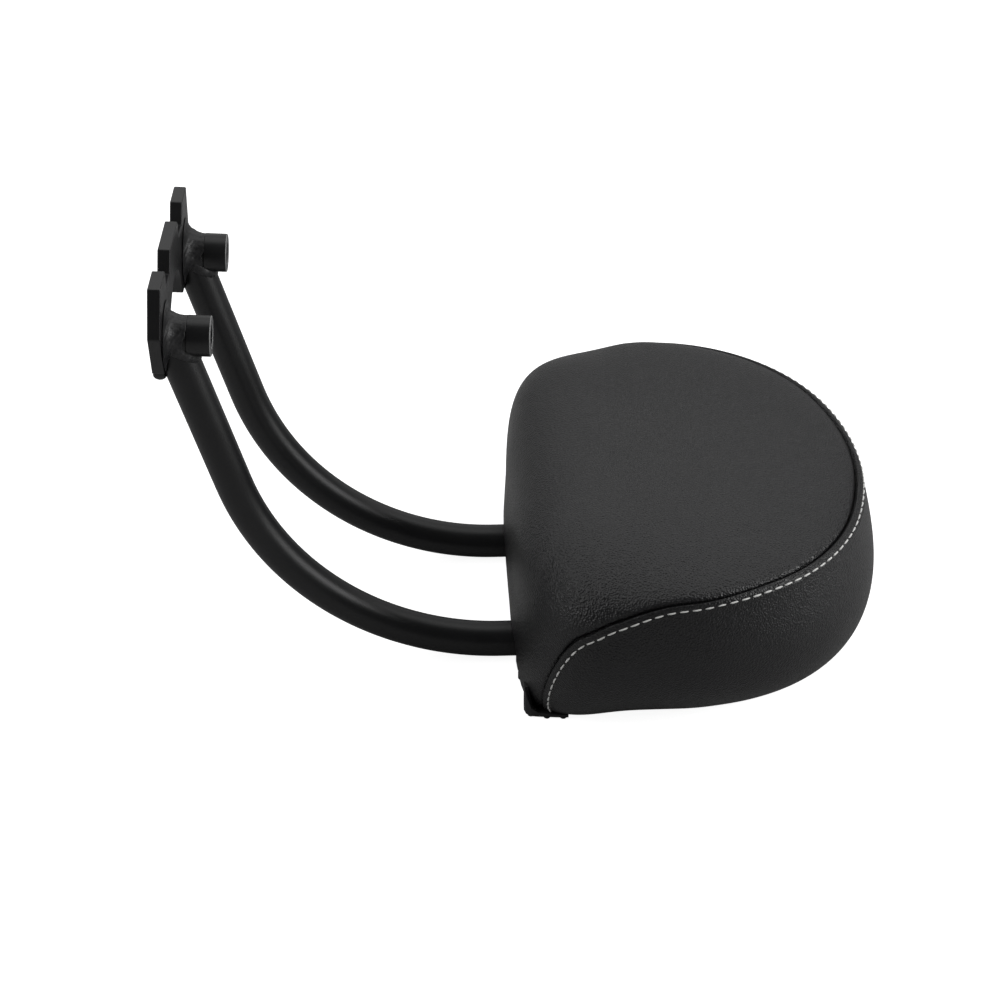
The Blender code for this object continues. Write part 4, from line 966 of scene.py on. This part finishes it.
def make_tube(side, label):
    """Round tube with one long bend, coped to the boss and notched for the plate's foot."""
    angles, shift = ring_angles(TUBE_SIDES), tube_shift(side)
    low = TUBE_DIAMETER / 2.0
    rows = []
    flat = Vector((-1.0, 0.0, 0.0))
    for share in np.linspace(1.0, 0.0, TUBE_STRAIGHT_STEPS + 1)[:-1]:
        centre = Vector((BEND_X + UNDER_PAD_LENGTH * share, 0.0, low)) + shift
        rows.append([centre + tube_offset(flat, angle) for angle in angles])
    for step in range(TUBE_BEND_STEPS + 1):
        turn = BEND_ANGLE * step / TUBE_BEND_STEPS
        along = Vector((-math.cos(turn), 0.0, math.sin(turn)))
        centre = Vector((BEND_X - BEND_RADIUS * math.sin(turn), 0.0,
                         low + BEND_RADIUS * (1.0 - math.cos(turn)))) + shift
        rows.append([centre + tube_offset(along, angle) for angle in angles])
    last = [saddle_point(tube_offset(RISER_DIRECTION, angle)) + shift for angle in angles]
    base = rows[-1]
    for share in RISER_SHARES:
        rows.append([start.lerp(end, share) for start, end in zip(base, last)])
    free = Vector((BEND_X + UNDER_PAD_LENGTH, 0.0, low)) + shift
    top = sum(last, Vector()) / TUBE_SIDES
    mesh = grid_mesh(f"tube_{label}", rows, around=True, start_pole=free, end_pole=top)
    slab = box_mesh((-CUT_REACH, -PLATE_FOOT_DROP - GAP, -CUT_REACH), (CUT_REACH, CUT_REACH, GAP))
    mesh = baked(mesh, lambda holder: add_cut(holder, slab, plate_frame(0)))
    tube = new_piece(f"tube_{label}", mesh, "black_powder_coat")
    mesh.set_sharp_from_angle(angle=TUBE_SHARP_ANGLE)
    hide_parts(f"arm_tube_{label}")


def make_boss(side, label, wear_and_highlight_finish):
    """Bored boss with rounded ends, paler on the end's two arrises: worn paint and a painted highlight."""
    inner, outer = BOSS_BORE / 2.0, BOSS_DIAMETER / 2.0
    neck = outer - NECK_STEP
    points = [(inner, GAP), (neck, GAP), (neck, NECK_LENGTH), (outer, NECK_LENGTH + NECK_STEP),
              (outer, BOSS_LENGTH), (inner, BOSS_LENGTH)]
    mesh = turned_mesh("boss", rounded_profile(points, BOSS_RADII), BOSS_SIDES)
    boss = new_piece(f"boss_piece_{label}", mesh, "black_powder_coat")
    mesh.materials.append(wear_and_highlight_finish)
    # Arrises in the pale finish: worn paint and a painted highlight where the rounds catch the light.
    for face in mesh.polygons:
        if BOSS_EDGE_SLOPE[0] < face.normal.z < BOSS_EDGE_SLOPE[1]:
            face.material_index = 1
    mesh.set_sharp_from_angle(angle=SHARP_ANGLE)
    boss.matrix_world = plate_frame(side)
    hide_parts(f"boss_{label}")


def plate_outline():
    arch_rise = ARCH_CROWN_HEIGHT + ARCH_FOOT_DROP
    arch_radius = (ARCH_HALF_WIDTH ** 2 + arch_rise ** 2) / (2.0 * arch_rise)
    half_sweep = math.asin(ARCH_HALF_WIDTH / arch_radius)
    half = [
        (CENTRE_TAB_HALF_WIDTH, PLATE_TAB_HEIGHT),
        (CENTRE_TAB_HALF_WIDTH + NOTCH_SLOPE, PLATE_NOTCH_HEIGHT),
        (OUTER_TAB_INNER - NOTCH_SLOPE, PLATE_NOTCH_HEIGHT),
        (OUTER_TAB_INNER, PLATE_TAB_HEIGHT),
        (OUTER_TAB_OUTER, PLATE_TAB_HEIGHT),
        (PLATE_HALF_WIDTH, PLATE_SHOULDER_HEIGHT),
        (PLATE_FOOT_OUTER, -PLATE_FOOT_DROP),
        (PLATE_FOOT_INNER, -PLATE_FOOT_DROP),
    ]
    for step in range(ARCH_STEPS):
        angle = half_sweep * (1.0 - step / ARCH_STEPS)
        drop = arch_radius * (1.0 - math.cos(angle))
        half.append((arch_radius * math.sin(angle), ARCH_CROWN_HEIGHT - drop))
    mirrored = [(-across, up) for across, up in reversed(half)]
    return half + [(0.0, ARCH_CROWN_HEIGHT)] + mirrored


def make_plate():
    """Laser-cut plate with softened arrises and bored for the two bolts."""
    work = bmesh.new()
    face = work.faces.new([work.verts.new((across, up, -PLATE_THICKNESS)) for across, up in plate_outline()])
    lifted = bmesh.ops.extrude_face_region(work, geom=[face])
    moved = [part for part in lifted["geom"] if isinstance(part, bmesh.types.BMVert)]
    bmesh.ops.translate(work, verts=moved, vec=(0.0, 0.0, PLATE_THICKNESS))
    mesh = finished(work, "plate")
    mesh.shade_smooth()

    def shape(holder):
        soften = holder.modifiers.new("arrises", "BEVEL")
        soften.width, soften.segments = PLATE_EDGE_BREAK, 4
        soften.limit_method, soften.angle_limit = "ANGLE", PLATE_BEVEL_FROM
        soften.harden_normals = True
        profile = [(BORE_CORE, -BORE_REACH), (BOSS_BORE / 2.0, -BORE_REACH),
                   (BOSS_BORE / 2.0, BORE_REACH), (BORE_CORE, BORE_REACH)]
        for side in (-1, 1):
            place = Matrix.Translation((side * TUBE_SPACING / 2.0, 0.0, 0.0))
            add_cut(holder, turned_mesh("bore", profile, BORE_SIDES), place)

    plate = new_piece("plate_piece", baked(mesh, shape), "black_powder_coat", smooth=False)
    plate.matrix_world = plate_frame(0)
    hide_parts("mounting_plate")


def wobble(angle, seed, coarse, fine):
    """Smooth pseudo-random value in about -1..1 that repeats every turn."""
    total = 0.0
    for order in range(1, coarse + 1):
        total += math.sin(order * angle + seed * 1.7 * order + order * order) / order
    for order in (fine, fine + 6, fine + 11):
        total += 0.35 * math.sin(order * angle + seed * order * 0.37)
    return total / 2.0


def make_boss_weld(side, label):
    """Rippled concave weld between boss and plate, running further along the boss on top."""
    foot, low = BOSS_DIAMETER / 2.0 - NECK_STEP, GAP + WELD_LIFT
    angles, seed = ring_angles(BOSS_WELD_SIDES), BOSS_WELD_SEEDS[side]
    rows = []
    for step in range(BOSS_WELD_STEPS + 1):
        share = step / BOSS_WELD_STEPS
        arc = math.pi / 2.0 * share
        row = []
        for angle in angles:
            top = max(math.sin(angle), 0.0)
            leg = BOSS_WELD_LEG + WELD_LEG_SPREAD * wobble(angle, seed, 3, 7)
            run = BOSS_WELD_RUN + WELD_RUN_SPREAD * wobble(angle, seed + 2.0, 3, 7)
            run += WELD_TOP_RUN[side] * top ** 2
            radius = foot + WELD_CLEAR + leg * (1.0 - math.sin(arc)) ** WELD_LEG_CURVE
            height = low + run * (1.0 - math.cos(arc)) ** WELD_RUN_CURVE
            drift = WELD_RIPPLE_SLANT * share + WELD_RIPPLE_DRIFT * wobble(angle, seed + 5.0, 2, 5)
            swell = WELD_RIPPLE * math.sin(WELD_RIPPLE_COUNT * angle + drift)
            swell += WELD_LUMP * wobble(angle + WELD_LUMP_SLANT * share, seed + 7.0, 4, 6)
            swell *= math.sin(math.pi * min(share * WELD_LUMP_END, 1.0)) ** WELD_LUMP_SPREAD
            radius += swell * math.sin(arc)
            height += swell * math.cos(arc)
            row.append((radius * math.cos(angle), radius * math.sin(angle), height))
        rows.append(row)
    tips = [point[2] + WELD_OVERLAP for point in rows[-1]]
    inner = [ring(foot, tips), ring(foot, [low] * BOSS_WELD_SIDES)]
    mesh = grid_mesh(f"boss_weld_{label}", rows + inner + rows[:1], around=True)
    weld = new_piece(f"boss_weld_piece_{label}", mesh, "black_coated_weld")
    weld.matrix_world = plate_frame(side)
    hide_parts(f"boss_weld_{label}")


def make_saddle_weld(side, label):
    """Rippled bead round the joint of tube and boss, on the side away from the plate."""
    front = SIDEWAYS.cross(RISER_DIRECTION)
    path = []
    for step in range(SADDLE_STEPS + 1):
        angle = SADDLE_SWEEP * (step / SADDLE_STEPS - 0.5)
        skin = (front * math.cos(angle) + SIDEWAYS * math.sin(angle)) * (TUBE_DIAMETER / 2.0)
        path.append((saddle_point(skin) + tube_shift(side), skin.normalized(), angle))
    rows = []
    for index, (place, out, angle) in enumerate(path):
        before, after = path[max(index - 1, 0)][0], path[min(index + 1, SADDLE_STEPS)][0]
        aside = (after - before).normalized().cross(out).normalized()
        size = SADDLE_MEAN + SADDLE_RIPPLE * math.sin(index * SADDLE_RIPPLE_STEP)
        size += SADDLE_LUMP * wobble(angle * 2.0, side * 2.0, 3, 7)
        size *= min(1.0, SADDLE_END + SADDLE_END_SLOPE * min(index, SADDLE_STEPS - index) / SADDLE_STEPS)
        high, wide = (share * SADDLE_WELD_RADIUS * size for share in (SADDLE_HEIGHT, SADDLE_WIDTH))
        rows.append([place + out * (high * math.cos(turn)) + aside * (wide * math.sin(turn))
                     for turn in ring_angles(SADDLE_SIDES)])
    mesh = grid_mesh(f"saddle_weld_{label}", rows, around=True, start_pole=path[0][0], end_pole=path[-1][0])
    weld = new_piece(f"saddle_weld_piece_{label}", mesh, "black_coated_weld")
    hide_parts(f"saddle_weld_{label}")


def make_toe_weld(side, label):
    """Lumpy fillet under the plate's foot, against the tube."""
    low = -PLATE_FOOT_DROP - TOE_TOP_GAP
    rows = []
    for column in range(TOE_COLUMNS + 1):
        share = column / TOE_COLUMNS * 2.0 - 1.0
        taper = math.sqrt(max(1.0 - abs(share) ** TOE_ROUNDNESS, 0.0))
        depth = TOE_WELD_DEPTH[side] * (TOE_END + (1.0 - TOE_END) * taper)
        depth *= 1.0 + TOE_RIPPLE * math.sin(column * TOE_RIPPLE_STEP)
        across = share * TOE_WELD_WIDTH / 2.0
        reach = PLATE_THICKNESS * TOE_THICKNESS * (0.5 + 0.5 * taper)
        rows.append([(across, low - depth / 2.0 + depth / 2.0 * math.sin(turn),
                      -PLATE_THICKNESS / 2.0 + reach * math.cos(turn)) for turn in ring_angles(TOE_SIDES)])
    first, last = ([sum(values) / TOE_SIDES for values in zip(*row)] for row in (rows[0], rows[-1]))
    mesh = grid_mesh(f"toe_weld_{label}", rows, around=True, start_pole=first, end_pole=last)
    weld = new_piece(f"toe_weld_piece_{label}", mesh, "black_coated_weld")
    weld.matrix_world = plate_frame(side)
    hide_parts(f"toe_weld_{label}")


# Stage

def grey(level):
    return (level, level, level, 1.0)


def camera_mix(nodes, links, unseen, seen):
    """Shows the camera one shader and everything else another."""
    mix = nodes.new("ShaderNodeMixShader")
    links.new(nodes.new("ShaderNodeLightPath").outputs["Is Camera Ray"], mix.inputs["Fac"])
    links.new(unseen.outputs[0], mix.inputs[1])
    links.new(seen.outputs[0], mix.inputs[2])
    return mix.outputs[0]


def make_floor():
    """White floor that looks plain white to the camera and dim to everything else."""
    mesh = bpy.data.meshes.new("floor")
    corners = [(x * FLOOR_HALF_WIDTH, y * FLOOR_HALF_WIDTH, 0)
               for x, y in ((-1, -1), (1, -1), (1, 1), (-1, 1))]
    mesh.from_pydata(corners, [], [(0, 1, 2, 3)])
    floor = add_object("floor", mesh)
    floor.location.z = -FLOOR_DROP
    made = bpy.data.materials.new("white_floor")
    made.use_nodes = True
    nodes, links = made.node_tree.nodes, made.node_tree.links
    nodes.clear()
    lit = add_node(nodes, "ShaderNodeBsdfDiffuse", Color=grey(0.8))
    glow = add_node(nodes, "ShaderNodeEmission", Color=grey(1.0), Strength=FLOOR_GLOW)
    both = nodes.new("ShaderNodeAddShader")
    links.new(lit.outputs[0], both.inputs[0])
    links.new(glow.outputs[0], both.inputs[1])
    dim = add_node(nodes, "ShaderNodeBsdfDiffuse", Color=grey(0.5))
    output = nodes.new("ShaderNodeOutputMaterial")
    links.new(camera_mix(nodes, links, dim, both), output.inputs["Surface"])
    mesh.materials.append(made)


def make_world():
    """World that is plain white to the camera and dim to everything else."""
    world = bpy.data.worlds.new("studio")
    bpy.context.scene.world = world
    world.use_nodes = True
    nodes, links = world.node_tree.nodes, world.node_tree.links
    nodes.clear()
    seen = add_node(nodes, "ShaderNodeBackground", Color=grey(1.0), Strength=1.0)
    ambient = add_node(nodes, "ShaderNodeBackground", Color=grey(1.0), Strength=AMBIENT)
    output = nodes.new("ShaderNodeOutputWorld")
    links.new(camera_mix(nodes, links, ambient, seen), output.inputs["Surface"])


def area_light(name, place, aim, width, height, power):
    data = bpy.data.lights.new(name, "AREA")
    data.shape = "RECTANGLE"
    data.size, data.size_y = width, height
    data.energy = power
    lamp = add_object(name, data)
    lamp.location = Vector(place) + Vector((BEND_X, 0.0, 0.0))
    lamp.rotation_euler = (Vector(aim) - Vector(place)).to_track_quat("-Z", "Y").to_euler()
    lamp.visible_camera = False


def make_camera():
    data = bpy.data.cameras.new("camera")
    data.sensor_width, data.lens = CAMERA_SENSOR, CAMERA_LENS
    data.clip_start, data.clip_end = 0.02, 30.0
    camera = add_object("camera", data)
    camera.location = CAMERA_FROM_BEND + Vector((BEND_X, 0.0, 0.0))
    camera.rotation_euler = (math.pi / 2.0 - CAMERA_PITCH, 0.0, CAMERA_YAW)
    bpy.context.scene.camera = camera


FINISHES = {
    "black_powder_coat": powder_coat("powder_coat", (0.009, 0.009, 0.0098), 0.38),
    "black_coated_weld": weld_coat(),
    "zinc_plated_steel": plain_finish("zinc", (0.6, 0.6, 0.58), 0.34, 1400.0, 0.05 * MM, metallic=1.0),
    "black_moulded_plastic": plain_finish("moulded_plastic", (0.018, 0.018, 0.019), 0.5, 1500.0, 0.12 * MM),
    "grey_foam": plain_finish("foam", (0.16, 0.16, 0.17), 0.9, 700.0, 0.6 * MM),
    # The band's leather is darker than the top's: painted shade on the wall that faces the camera, away from
    # the lights.
    "black_synthetic_leather": leather("shaded_band_leather", (0.008, 0.008, 0.0088), 0.36, 0.9 * MM),
}
# Pale finish for the boss ends' arrises: worn paint and a painted highlight.
boss_end_wear_and_highlight = powder_coat("boss_end_wear_and_highlight", (0.35, 0.35, 0.35), 0.4)
# Lighter copy of the same leather for the top, where the lights fall: painted light.
lit_top_leather = leather("lit_top_leather", (0.012, 0.012, 0.013), 0.31, 0.9 * MM)
thread = thread_material()

for row in frame["record"]["subparts"]:
    node = frame["nodes"][row["node"]]
    for place in node.material_slots:
        place.material = FINISHES[row["material_slot"]]

swell = simulate_swell()
make_top_panel(lit_top_leather, swell)
make_side_band(swell)
make_stitches(thread)
make_plate()
for side, label in ((-1, "right"), (1, "left")):
    make_tube(side, label)
    make_boss(side, label, boss_end_wear_and_highlight)
    make_boss_weld(side, label)
    make_saddle_weld(side, label)
    make_toe_weld(side, label)
    make_pan_corner(side, label)

make_floor()
make_world()
for light in LIGHTS:
    area_light(*light)
make_camera()
bpy.context.scene.view_settings.view_transform = "Standard"
